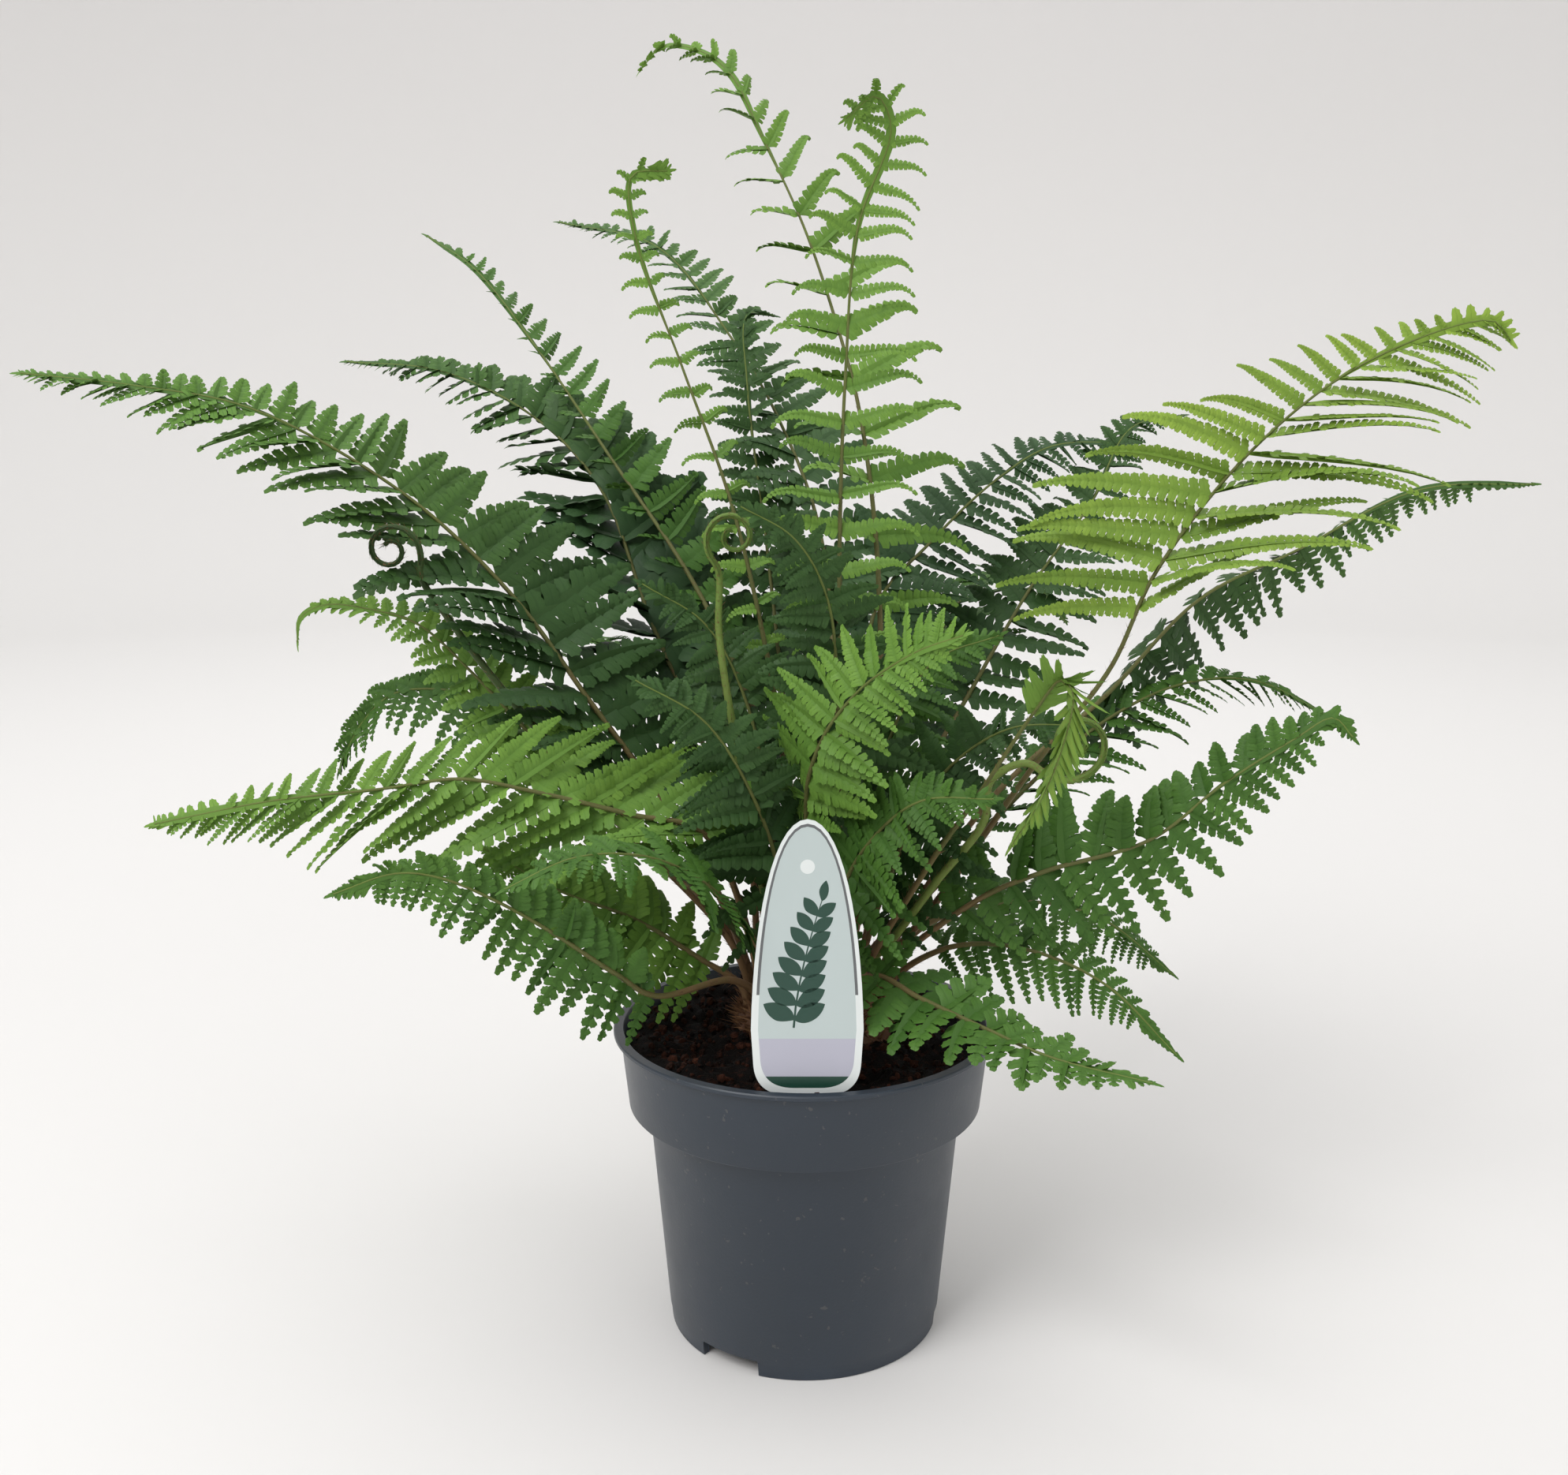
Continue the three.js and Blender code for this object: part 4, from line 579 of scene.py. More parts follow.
def smooth_line(points, samples):
    """Points of a centripetal Catmull-Rom curve, evenly spread over its parameter."""
    p = np.asarray(points, float)
    p = np.concatenate([[2 * p[0] - p[1]], p, [2 * p[-1] - p[-2]]])
    spans = len(p) - 3
    t = np.linspace(0, spans, samples + 1)
    i = np.minimum(t.astype(int), spans - 1)
    t = (t - i)[:, None]
    x0, x1, x2, x3 = (p[i + k] for k in range(4))
    dt0, dt1, dt2 = (np.sqrt(np.linalg.norm(b - a, axis=1, keepdims=True))
                     for a, b in ((x0, x1), (x1, x2), (x2, x3)))
    t1 = ((x1 - x0) / dt0 - (x2 - x0) / (dt0 + dt1) + (x2 - x1) / dt1) * dt1
    t2 = ((x2 - x1) / dt1 - (x3 - x1) / (dt1 + dt2) + (x3 - x2) / dt2) * dt1
    return x1 + t1 * t + (3 * (x2 - x1) - 2 * t1 - t2) * t ** 2 + (2 * (x1 - x2) + t1 + t2) * t ** 3


def line_reach(points):
    """The distance from its start at each point of a line."""
    return np.concatenate([[0], np.cumsum(np.linalg.norm(np.diff(points, axis=0), axis=1))])


def line_values(distance, reach, table):
    """Values of a line at one or many distances from its start."""
    return np.stack([np.interp(distance, reach, table[:, k]) for k in range(3)], axis=-1)


def stalk_line(plan, extra=(), samples=CURVE_SAMPLES):
    """A stalk's curve from its socket in the crown through its guide points."""
    ring, azimuth = plan["seat"]
    way = np.array([math.cos(math.radians(azimuth)), math.sin(math.radians(azimuth)), 0])
    centre = np.array([CROWN["x"], CROWN["y"], 0])
    surface = crown_surface(ring)
    root = centre + way * ring + [0, 0, surface - SOCKET_DEPTH]
    collar = centre + way * (ring + 3) + [0, 0, surface + 10]
    return smooth_line([root, collar, *plan["route"], *extra], samples)


class Midrib:
    """A frond's midrib, which tells its point and directions at any distance along it."""

    def __init__(self, plan):
        points = stalk_line(plan)
        along = points.copy()
        along[1:-1] = points[2:] - points[:-2]
        along[0], along[-1] = points[1] - points[0], points[-1] - points[-2]
        along = unit(along)
        self.reach = line_reach(points)
        self.length = self.reach[-1]
        middle = int(np.argmax(self.reach > self.length * 0.6))
        up = np.zeros_like(points)
        face = np.array(plan["face"], float)
        square = lambda i, guide: unit(guide - along[i] * np.dot(guide, along[i]))
        up[middle] = square(middle, face)
        for i in range(middle + 1, len(points)):
            up[i] = square(i, up[i - 1])
        for i in range(middle - 1, -1, -1):
            up[i] = square(i, up[i + 1])
        self.points, self.along, self.up = points, along, up

    def at(self, distance):
        """Point, direction along, upper side and left side at one or many distances."""
        points, along, up = (line_values(distance, self.reach, table)
                             for table in (self.points, self.along, self.up))
        along, up = unit(along), unit(up)
        return points, along, up, np.cross(up, along)


def leaflet_length(plan, half, place):
    """Length of a leaflet by its place on the leafy part, longest at about a third of it."""
    peak = 0.3
    if place < peak:
        return plan["long"][half] * (0.68 + 0.32 * math.sin(place / peak * math.pi / 2))
    return plan["long"][half] * (0.05 + 0.95 * ((1 - place) / (1 - peak)) ** plan["taper"][half])


def pair_place(pairs, index, crowding=FRAME_CROWDING):
    """Where a pair of leaflets stands on the leafy part, closer together towards the tip."""
    return 1 - (1 - (index + 0.4) / pairs) ** crowding


class Leaflet:
    """A leaflet's own axes and line, for one side of the midrib and one way of bending it."""

    def __init__(self, plan, midrib, place, sign, bend, sway=(0, 0, 1, 0)):
        lift, turn, share = bend
        distance = midrib.length * (plan["bare"] + (1 - plan["bare"]) * place)
        self.base, along, up, side = midrib.at(distance)
        half = 0 if sign > 0 else 1
        sweep = math.radians(plan["sweep"][half] + plan["lean"][half] * place ** 2 + turn + sway[0])
        rise = math.radians(plan["rise"][half] + lift + sway[1])
        level = side * sign * math.cos(sweep) + along * math.sin(sweep)
        self.out = unit(level * math.cos(rise) + up * math.sin(rise))
        self.forward = unit(along - self.out * np.dot(along, self.out))
        flat = np.cross(self.out, self.forward) * (-1 if sign > 0 else 1)
        roll = math.radians(plan["roll"][half])
        self.across = self.forward * math.cos(roll) - flat * math.sin(roll)
        self.face = flat * math.cos(roll) + self.forward * math.sin(roll)
        self.length = leaflet_length(plan, half, place) * share * sway[2]
        self.width = plan["wide"] * (0.22 + 0.78 * self.length / plan["long"][half]) / 2
        self.droop, self.hook = plan["droop"] + sway[3], plan["hook"]
        self.place, self.sign = place, sign

    def spine(self, s):
        """Points of the leaflet's own midrib."""
        s = np.asarray(s, float)[..., None]
        fall = np.array([0, 0, 1.0]) * (self.droop * s ** 2 + self.hook * s ** 5)
        return self.base + (self.out * s + self.forward * 0.1 * s ** 2 - fall) * self.length

    def heading(self, s):
        """Directions along the leaflet's midrib."""
        s = np.asarray(s, float)[..., None]
        fall = np.array([0, 0, 1.0]) * (2 * self.droop * s + 5 * self.hook * s ** 4)
        return unit(self.out + self.forward * 0.2 * s - fall)


def used_bends(name, plan, midrib):
    """The bend that each leaflet of the frame has, found where its tip lies on the frame's own frond."""
    corners = np.array([v.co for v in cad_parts[name].data.vertices]) / MM
    found = {}
    for index in range(plan["pairs"]):
        for sign in (1, -1):
            best, nearest = None, TIP_MATCH
            for bend in BENDS:
                tip = Leaflet(plan, midrib, pair_place(plan["pairs"], index), sign, bend).spine(1)
                gap = np.linalg.norm(corners - tip, axis=1).min()
                if gap < nearest:
                    best, nearest = bend, gap
            found[index, sign] = best
    return found


def bend_at(bends, plan, place, sign):
    """The bend at any place, between those of the frame's leaflets."""
    last = plan["pairs"] - 1
    index = min(max(plan["pairs"] * (1 - (1 - place) ** (1 / FRAME_CROWDING)) - 0.4, 0), last)
    low, high = bends[math.floor(index), sign], bends[min(math.floor(index) + 1, last), sign]
    low, high = low or high or HIDDEN_BEND, high or low or HIDDEN_BEND
    return tuple(a + (b - a) * (index - math.floor(index)) for a, b in zip(low, high))


# Materials

class Wires:
    """A small hand for adding and joining nodes, up to the inputs at a tree's end."""

    def __init__(self, tree, ends=None):
        self.tree, self.ends = tree, ends

    def add(self, kind, inputs=None, **settings):
        """Adds a node, sets its own values, and sets or joins its inputs."""
        node = self.tree.nodes.new(kind)
        for key, value in settings.items():
            setattr(node, key, value)
        for key, value in (inputs or {}).items():
            if isinstance(value, bpy.types.NodeSocket):
                self.tree.links.new(value, node.inputs[key])
            else:
                node.inputs[key].default_value = value
        return node

    def mix(self, share, low, high):
        """A colour between two, by a share."""
        return self.add("ShaderNodeMix", {0: share, 6: low, 7: high}, data_type="RGBA").outputs[2]

    def math(self, operation, *values):
        """A sum, product or other function of numbers."""
        return self.add("ShaderNodeMath", dict(enumerate(values)), operation=operation).outputs[0]

    def span(self, value, low, high, to_low=0.0, to_high=1.0):
        """A value stretched from one span to another and kept within it."""
        node = self.add("ShaderNodeMapRange", {0: value, 1: low, 2: high, 3: to_low, 4: to_high})
        return node.outputs[0]

    def noise(self, place, scale, detail):
        """Noise over a place, from 0 to 1."""
        inputs = {"Vector": place, "Scale": scale, "Detail": detail, "Roughness": 0.6}
        return self.add("ShaderNodeTexNoise", inputs).outputs[0]

    def attribute(self, name):
        """A value kept on the points of the mesh."""
        return self.add("ShaderNodeAttribute", attribute_name=name).outputs["Fac"]

    def place(self):
        """Object coordinates."""
        return self.add("ShaderNodeTexCoord").outputs["Object"]

    def height(self, place):
        """Height of a place."""
        return self.add("ShaderNodeSeparateXYZ", {0: place}).outputs[2]

    def group(self, tree, inputs):
        """Places a node group with its own values."""
        return self.add("ShaderNodeGroup", inputs, node_tree=tree).outputs

    def join(self, output, name):
        """Joins a value to an input at the end."""
        self.tree.links.new(output, self.ends[name])

    def relief(self, height, strength, distance=0.0002):
        """Gives the shader a fine relief."""
        bump = self.add("ShaderNodeBump", {"Strength": strength, "Distance": distance, "Height": height})
        self.join(bump.outputs[0], "Normal")


def colour(values):
    """A colour with its alpha."""
    return (*values[:3], 1.0)


def material(name, roughness, **plain):
    """A new material and its wires, with the plain values of its Principled shader set here."""
    made = bpy.data.materials.new(name)
    made.use_nodes = True
    shader = made.node_tree.nodes["Principled BSDF"]
    shader.inputs["Roughness"].default_value = roughness
    for key, value in plain.items():
        shader.inputs[key].default_value = value
    return made, Wires(made.node_tree, shader.inputs)


def group(name, inputs, outputs):
    """A new shader node group, its wires and its start; inputs come with defaults and outputs with kinds."""
    tree = bpy.data.node_groups.new(name, "ShaderNodeTree")
    for key, value in inputs.items():
        kind = "NodeSocketColor" if isinstance(value, tuple) else "NodeSocketFloat"
        tree.interface.new_socket(key, in_out="INPUT", socket_type=kind).default_value = value
    for key, kind in outputs.items():
        tree.interface.new_socket(key, in_out="OUTPUT", socket_type="NodeSocket" + kind)
    wires = Wires(tree)
    given, wires.ends = wires.add("NodeGroupInput").outputs, wires.add("NodeGroupOutput").inputs
    return tree, wires, given


def mottle_group():
    """Soft blotches and fine grain: a mask and a height, for every matt surface."""
    if "Mottle" in bpy.data.node_groups:
        return bpy.data.node_groups["Mottle"]
    tree, w, given = group("Mottle", {"Blotch Scale": 20.0, "Grain Scale": 400.0},
                           {"Blotch": "Float", "Grain": "Float"})
    place = w.place()
    blotch = w.noise(place, given["Blotch Scale"], 4.0)
    grain = w.noise(place, given["Grain Scale"], 2.0)
    w.join(w.span(blotch, 0.3, 0.7), "Blotch")
    w.join(w.span(grain, 0.25, 0.75), "Grain")
    return tree


def leaf_group():
    """Colour and relief of a fern leaf: young tips, old bases, pale underside, dark veins, painted sunlight,
    and painted shade at the pinnules' feet and on the web between them.
    """
    if "Fern leaf" in bpy.data.node_groups:
        return bpy.data.node_groups["Fern leaf"]
    tree, w, given = group("Fern leaf", {
        "Old": (0.03, 0.1, 0.02, 1), "Young": (0.12, 0.3, 0.04, 1), "Under": (0.1, 0.2, 0.06, 1),
        "Sunlit": (0.12, 0.25, 0.04, 1)}, {"Color": "Color", "Roughness": "Float", "Height": "Float"})
    mottle = w.group(mottle_group(), {"Blotch Scale": 45.0, "Grain Scale": 900.0})
    age, tone, under = w.attribute("age"), w.attribute("tone"), w.attribute("under")
    flow = w.math("ADD", w.math("MULTIPLY", age, 0.55), w.math("MULTIPLY", tone, 0.4))
    flow = w.math("ADD", flow, w.math("MULTIPLY", mottle["Blotch"], 0.22))
    body = w.mix(w.span(flow, 0.15, 1.0), given["Old"], given["Young"])
    # Painted sunlight: a fixed bright green mixed in by the sun share, where light falls on the outer
    # leaflets.
    body = w.mix(w.attribute("sun"), body, given["Sunlit"])
    blade = w.add("ShaderNodeUVMap", uv_map="blade").outputs[0]
    across, along = w.add("ShaderNodeSeparateXYZ", {0: blade}).outputs[:2]
    off_middle = w.math("ABSOLUTE", w.math("SUBTRACT", across, 0.5))
    midvein = w.span(off_middle, 0.02, 0.1, 1.0, 0.0)
    slant = w.math("SUBTRACT", along, w.math("MULTIPLY", off_middle, 0.8))
    veins = w.span(w.math("SINE", w.math("MULTIPLY", slant, 38.0)), 0.75, 1.0)
    lines = w.math("MAXIMUM", midvein, w.math("MULTIPLY", veins, 0.4))
    # Painted shade: the leaf turns towards the old colour near each pinnule's foot, and most on the web and
    # wing, which carry no blade UV, standing in for the shade in the gaps between pinnules.
    foot = w.span(along, 0.0, 0.42, 0.42, 0.0)
    veins_and_painted_shade = w.mix(w.math("MAXIMUM", w.math("MULTIPLY", lines, 0.35), foot), body, given["Old"])
    w.join(w.mix(w.span(under, 0.35, 0.9, 0.0, 0.7), veins_and_painted_shade, given["Under"]), "Color")
    rough = w.span(mottle["Grain"], 0.0, 1.0, 0.42, 0.6)
    w.join(w.math("ADD", rough, w.math("MULTIPLY", under, 0.15)), "Roughness")
    grain = w.math("MULTIPLY", mottle["Grain"], 0.3)
    w.join(w.math("SUBTRACT", grain, w.math("MULTIPLY", lines, 0.8)), "Height")
    return tree


def leaf_material(tone, young):
    """The leaf of one tone of frond, worked out from its youngest colour."""
    young = np.array(young)
    colours = {"Old": young * (0.4, 0.5, 0.5), "Young": young, "Under": young * 0.8 + (0.02, 0.025, 0.01)}
    made, w = material("Leaf " + tone, 0.5, **{"Specular IOR Level": 0.22})
    leaf = w.group(leaf_group(), {key: colour(value) for key, value in colours.items()})
    w.join(leaf["Color"], "Base Color")
    w.join(leaf["Roughness"], "Roughness")
    w.relief(leaf["Height"], 0.25)
    return made


def stalk_material(name, base, green, tip):
    """A stalk that turns from brown at its foot to green and then pale at its tip."""
    made, w = material(name, 0.55, **{"Specular IOR Level": 0.25})
    mottle = w.group(mottle_group(), {"Blotch Scale": 90.0, "Grain Scale": 1500.0})
    blotch = w.math("MULTIPLY", w.math("SUBTRACT", mottle["Blotch"], 0.5), 0.16)
    age = w.math("ADD", w.attribute("age"), blotch)
    lower = w.mix(w.span(age, 0.16, 0.42), colour(base), colour(green))
    whole = w.mix(w.span(age, 0.55, 1.0), lower, colour(tip))
    w.join(w.mix(w.math("MULTIPLY", mottle["Grain"], 0.3), whole, colour(base)), "Base Color")
    w.relief(mottle["Grain"], 0.3)
    return made


def scale_material():
    """Papery brown scales, from straw to chestnut."""
    made, w = material("Dry scale", 0.7)
    mottle = w.group(mottle_group(), {"Blotch Scale": 150.0, "Grain Scale": 1200.0})
    blotch = w.math("MULTIPLY", mottle["Blotch"], 0.3)
    tone = w.math("ADD", w.math("MULTIPLY", w.attribute("tone"), 0.7), blotch)
    w.join(w.mix(tone, colour((0.075, 0.028, 0.012)), colour((0.3, 0.16, 0.07))), "Base Color")
    return made


# Settings that a user would change

class FernPotSettings(bpy.types.PropertyGroup):
    """The nursery pot."""

    height: FloatProperty(name="Height", description="Height of the pot over its rim", unit="LENGTH",
                          default=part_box("pot")[1].z)
    lip_radius: FloatProperty(name="Lip radius", description="Outer radius of the rolled lip", unit="LENGTH",
                              default=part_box("pot")[1].x)
    sides: IntProperty(name="Sides", description="Sides of the turned wall", default=120, min=24, max=256)
    colour: FloatVectorProperty(name="Colour", description="Colour of the plastic", subtype="COLOR",
                                default=(0.0195, 0.0285, 0.0415))


class FernSoilSettings(bpy.types.PropertyGroup):
    """The peat in the pot."""

    crumbs: IntProperty(name="Crumbs", description="Loose crumbs and fibres", default=1500, min=0, max=3000)
    dark: FloatVectorProperty(name="Dark", description="Colour of wet peat", subtype="COLOR",
                              default=(0.0045, 0.0034, 0.003))
    red: FloatVectorProperty(name="Red", description="Colour of dry crumbs and fibres", subtype="COLOR",
                             default=(0.07, 0.023, 0.012))


class FernFoliageSettings(bpy.types.PropertyGroup):
    """The fronds and their leaflets."""

    slimness: FloatProperty(name="Slimness", description="Width of a leaflet against the frame's own",
                            default=0.84, min=0.4, max=1.4)
    spacing: FloatProperty(name="Pinnule spacing", description="Pinnule distance per half width",
                           default=0.74, min=0.3, max=1.2)
    seed: IntProperty(name="Seed", description="Seed of the small differences", default=7)
    bright: FloatVectorProperty(name="Bright", description="Youngest fronds", subtype="COLOR",
                                default=(0.265, 0.4, 0.055))
    fresh: FloatVectorProperty(name="Fresh", description="Young fronds", subtype="COLOR",
                               default=(0.165, 0.305, 0.045))
    green: FloatVectorProperty(name="Green", description="Full-grown fronds", subtype="COLOR",
                               default=(0.072, 0.166, 0.025))
    dark: FloatVectorProperty(name="Dark", description="Old fronds", subtype="COLOR",
                              default=(0.042, 0.098, 0.023))
    blue: FloatVectorProperty(name="Blue", description="Old shaded fronds", subtype="COLOR",
                              default=(0.048, 0.104, 0.036))


class FernLabelSettings(bpy.types.PropertyGroup):
    """The plant label."""

    width: FloatProperty(name="Width", description="Width of the label", unit="LENGTH",
                         default=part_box("label")[1].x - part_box("label")[0].x)
    height: FloatProperty(name="Height", description="Height of the label over its spike", unit="LENGTH",
                          default=125 * MM)
    paper: FloatVectorProperty(name="Paper", description="Pale printed ground", subtype="COLOR",
                               default=(0.48, 0.55, 0.545))
    ink: FloatVectorProperty(name="Ink", description="Dark green print", subtype="COLOR",
                             default=(0.012, 0.055, 0.036))


class FernStageSettings(bpy.types.PropertyGroup):
    """Floor, light and camera."""

    lens: FloatProperty(name="Lens", description="Focal length in millimetres", default=34.8)
    sensor: FloatProperty(name="Sensor", description="Width of the sensor in millimetres", default=36)
    camera: FloatVectorProperty(name="Camera", description="Place of the camera", subtype="XYZ",
                                unit="LENGTH", default=(-0.0103, -0.7216, 0.4267))
    pitch: FloatProperty(name="Pitch", description="Angle of the view below the horizon", subtype="ANGLE",
                         default=math.radians(10.12))
    # Floor, far floor and wall hold painted light: the paper is darker near the plant, paler far off and
    # darker again up the wall.
    floor: FloatVectorProperty(name="Floor", description="Colour of the floor", subtype="COLOR",
                               default=(0.77, 0.756, 0.742))
    far: FloatVectorProperty(name="Far floor", description="Colour of the floor far off", subtype="COLOR",
                             default=(0.9, 0.886, 0.87))
    wall: FloatVectorProperty(name="Wall", description="Colour of the backdrop's wall", subtype="COLOR",
                              default=(0.76, 0.745, 0.735))


# The pieces

class FERN_OT_pot(bpy.types.Operator):
    """Turns the nursery pot with its collar, rolled lip, raised floor, notches and drain holes"""

    bl_idname = "fern.pot"
    bl_label = "Nursery pot"

    def execute(self, context):
        """Makes the pot."""
        settings = context.scene.fern_pot
        top, lip = settings.height, settings.lip_radius
        profile = [(x * MM, z * MM) for x, z in [
            (15, 0), (16, 8.5), (63.6, 8.5), (64.1, 0), (67.2, 0), (67.7, 0.5), (68.4, 7.8), (68.75, 8.3),
            (78.0, 114.7), (78.4, 115.3), (87.2, 115.3), (87.8, 116.0)]]
        profile += [(lip - 3.4 * MM, top - 3.4 * MM), (lip - 3.1 * MM, top - 2.7 * MM),
                    (lip - 0.4 * MM, top - 2.4 * MM), (lip, top - 2 * MM), (lip, top - 0.6 * MM),
                    (lip - 0.5 * MM, top), (lip - 4.6 * MM, top), (lip - 5.1 * MM, top - 0.6 * MM)]
        profile += [(x * MM, z * MM) for x, z in [(86.3, 118.5), (76.5, 116.2), (67.0, 10.9), (0.5, 10.7)]]
        pot = turned(profile, settings.sides, "nursery_pot")
        for azimuth in NOTCHES["azimuths"]:
            self.cut(pot, azimuth, NOTCHES["ring"], 0)
        for i in range(DRAINS["count"]):
            azimuth = 360 / DRAINS["count"] * (i + 0.5)
            self.cut(pot, azimuth, DRAINS["ring"], DRAINS["height"], drain=True)
        apply_modifier(pot, "BEVEL", width=0.25 * MM, segments=2, limit_method="ANGLE",
                       angle_limit=math.radians(50))
        smooth(pot, 35)
        dress(pot, "pot", "pot", self.plastic(settings))
        return {"FINISHED"}

    def cut(self, pot, azimuth, ring, height, drain=False):
        """Cuts a notch or a drain hole through the pot."""
        start_clean()
        angle = math.radians(azimuth)
        place = (ring * MM * math.cos(angle), ring * MM * math.sin(angle), height * MM)
        if drain:
            bpy.ops.mesh.primitive_cylinder_add(vertices=24, radius=DRAINS["radius"] * MM,
                                                depth=DRAINS["depth"] * MM, location=place)
            cutter = settle(bpy.context.object)
        else:
            bpy.ops.mesh.primitive_cube_add(size=1, location=place, rotation=(0, 0, angle))
            bpy.context.object.scale = [x * MM for x in NOTCHES["size"]]
            cutter = settle(bpy.context.object)
            apply_modifier(cutter, "BEVEL", width=NOTCHES["rounding"] * MM, segments=3)
        apply_modifier(pot, "BOOLEAN", operation="DIFFERENCE", object=cutter, solver="EXACT")
        bpy.data.objects.remove(cutter)

    def plastic(self, settings):
        """Satin slate-grey plastic with soft scuffs, dust near the foot and a few pale specks."""
        made, w = material("Pot plastic", 0.4)
        mottle = w.group(mottle_group(), {"Blotch Scale": 14.0, "Grain Scale": 700.0})
        place = w.place()
        specks = w.span(w.noise(place, 260.0, 2.0), 0.69, 0.72)
        dust = w.math("MULTIPLY", w.span(w.height(place), 0.0, 0.05, 0.5, 0.12), mottle["Blotch"])
        base = w.mix(dust, colour(settings.colour), colour([1.9 * x for x in settings.colour]))
        w.join(w.mix(w.math("MULTIPLY", specks, 0.3), base, colour((0.16, 0.15, 0.13))), "Base Color")
        w.join(w.span(mottle["Blotch"], 0, 1, 0.34, 0.46), "Roughness")
        w.relief(mottle["Grain"], 0.12)
        return made


class FERN_OT_soil(bpy.types.Operator):
    """Fills the pot with lumpy peat and loose crumbs"""

    bl_idname = "fern.soil"
    bl_label = "Peat soil"

    def execute(self, context):
        """Makes the bed and its crumbs."""
        settings = context.scene.fern_soil
        rings = [(r, PEAT_LEVEL) for r in range(82, 0, -2)]
        profile = [(4, 11.2), (66.4, 11.2), (76.0, 115.6), (86.2, 119.2), (88.2, 146.5), (86, 148.6), *rings]
        bed = turned([(r * MM, z * MM) for r, z in profile], 110, "peat_bed")
        self.roughen(bed)
        smooth(bed, 60)
        peat = self.peat(settings)
        dress(bed, "soil", "soil", peat)
        crumbs = self.crumbs(settings)
        smooth(crumbs, 30)
        dress(crumbs, None, "soil", peat)
        return {"FINISHED"}

    def height(self, x, y):
        """Height of the peat's surface over its mean level, in millimetres."""
        lump = math.sin(x * 0.13 + y * 0.07) + math.cos(y * 0.16 - x * 0.05) * 0.8
        fine = noise.fractal(Vector((x, y, 3)) * 0.16, 0.7, 2.1, 5)
        edge = min(1, max(0, (PEAT_RADIUS - math.hypot(x, y)) / 10))
        return edge * (1.6 * lump + 2.8 * fine)

    def roughen(self, bed):
        """Lifts the top into lumps."""
        for vertex in bed.data.vertices:
            if vertex.co.z > (PEAT_LEVEL - 1) * MM:
                vertex.co.z += self.height(vertex.co.x / MM, vertex.co.y / MM) * MM

    def crumbs(self, settings):
        """Loose crumbs and short fibres on the peat."""
        start_clean()
        bpy.ops.mesh.primitive_ico_sphere_add(subdivisions=1, radius=1)
        crumb, crumb_faces = read_mesh(bpy.context.object)
        sliver, sliver_faces = model_sliver()
        rng = np.random.default_rng(SEEDS["crumbs"])
        heap = Heap()
        for i in range(settings.crumbs):
            radius, angle = disc_spot(rng, PEAT_RADIUS - 3)
            x, y = radius * math.cos(angle), radius * math.sin(angle)
            place = np.array([x, y, PEAT_LEVEL + self.height(x, y)])
            turn = np.linalg.qr(rng.normal(size=(3, 3)))[0]
            turn *= np.sign(np.linalg.det(turn))
            if i % 4 == 3:
                size = np.array([rng.uniform(0.3, 0.7), rng.uniform(4, 10), 0.5])
                flat = np.array([math.cos(angle * 7), math.sin(angle * 7), rng.uniform(-0.1, 0.25)])
                basis = np.stack([unit(np.cross(flat, [0, 0, 1])), unit(flat), [0, 0, 1]])
                heap.add((sliver * size @ basis + place)[None], sliver_faces, 0, rng.random(), rng.random())
                continue
            size = (0.5 + 2.3 * rng.random() ** 1.6) * rng.uniform(0.6, 1.2, 3)
            shape = crumb * (1 + rng.uniform(-0.25, 0.25, (len(crumb), 1))) * size @ turn
            heap.add((shape + place + [0, 0, 0.3])[None], crumb_faces, 0, rng.random(), rng.random())
        return heap.piece("peat_crumbs")

    def peat(self, settings):
        """Dark damp peat with reddish dry crumbs."""
        made, w = material("Peat", 0.9, **{"Specular IOR Level": 0.12})
        mottle = w.group(mottle_group(), {"Blotch Scale": 260.0, "Grain Scale": 1400.0})
        tone = w.span(w.math("ADD", w.attribute("tone"), mottle["Blotch"]), 0.6, 1.9)
        w.join(w.mix(tone, colour(settings.dark), colour(settings.red)), "Base Color")
        w.join(w.span(mottle["Grain"], 0, 1, 0.75, 0.98), "Roughness")
        w.relief(mottle["Grain"], 0.7, 0.0008)
        return made


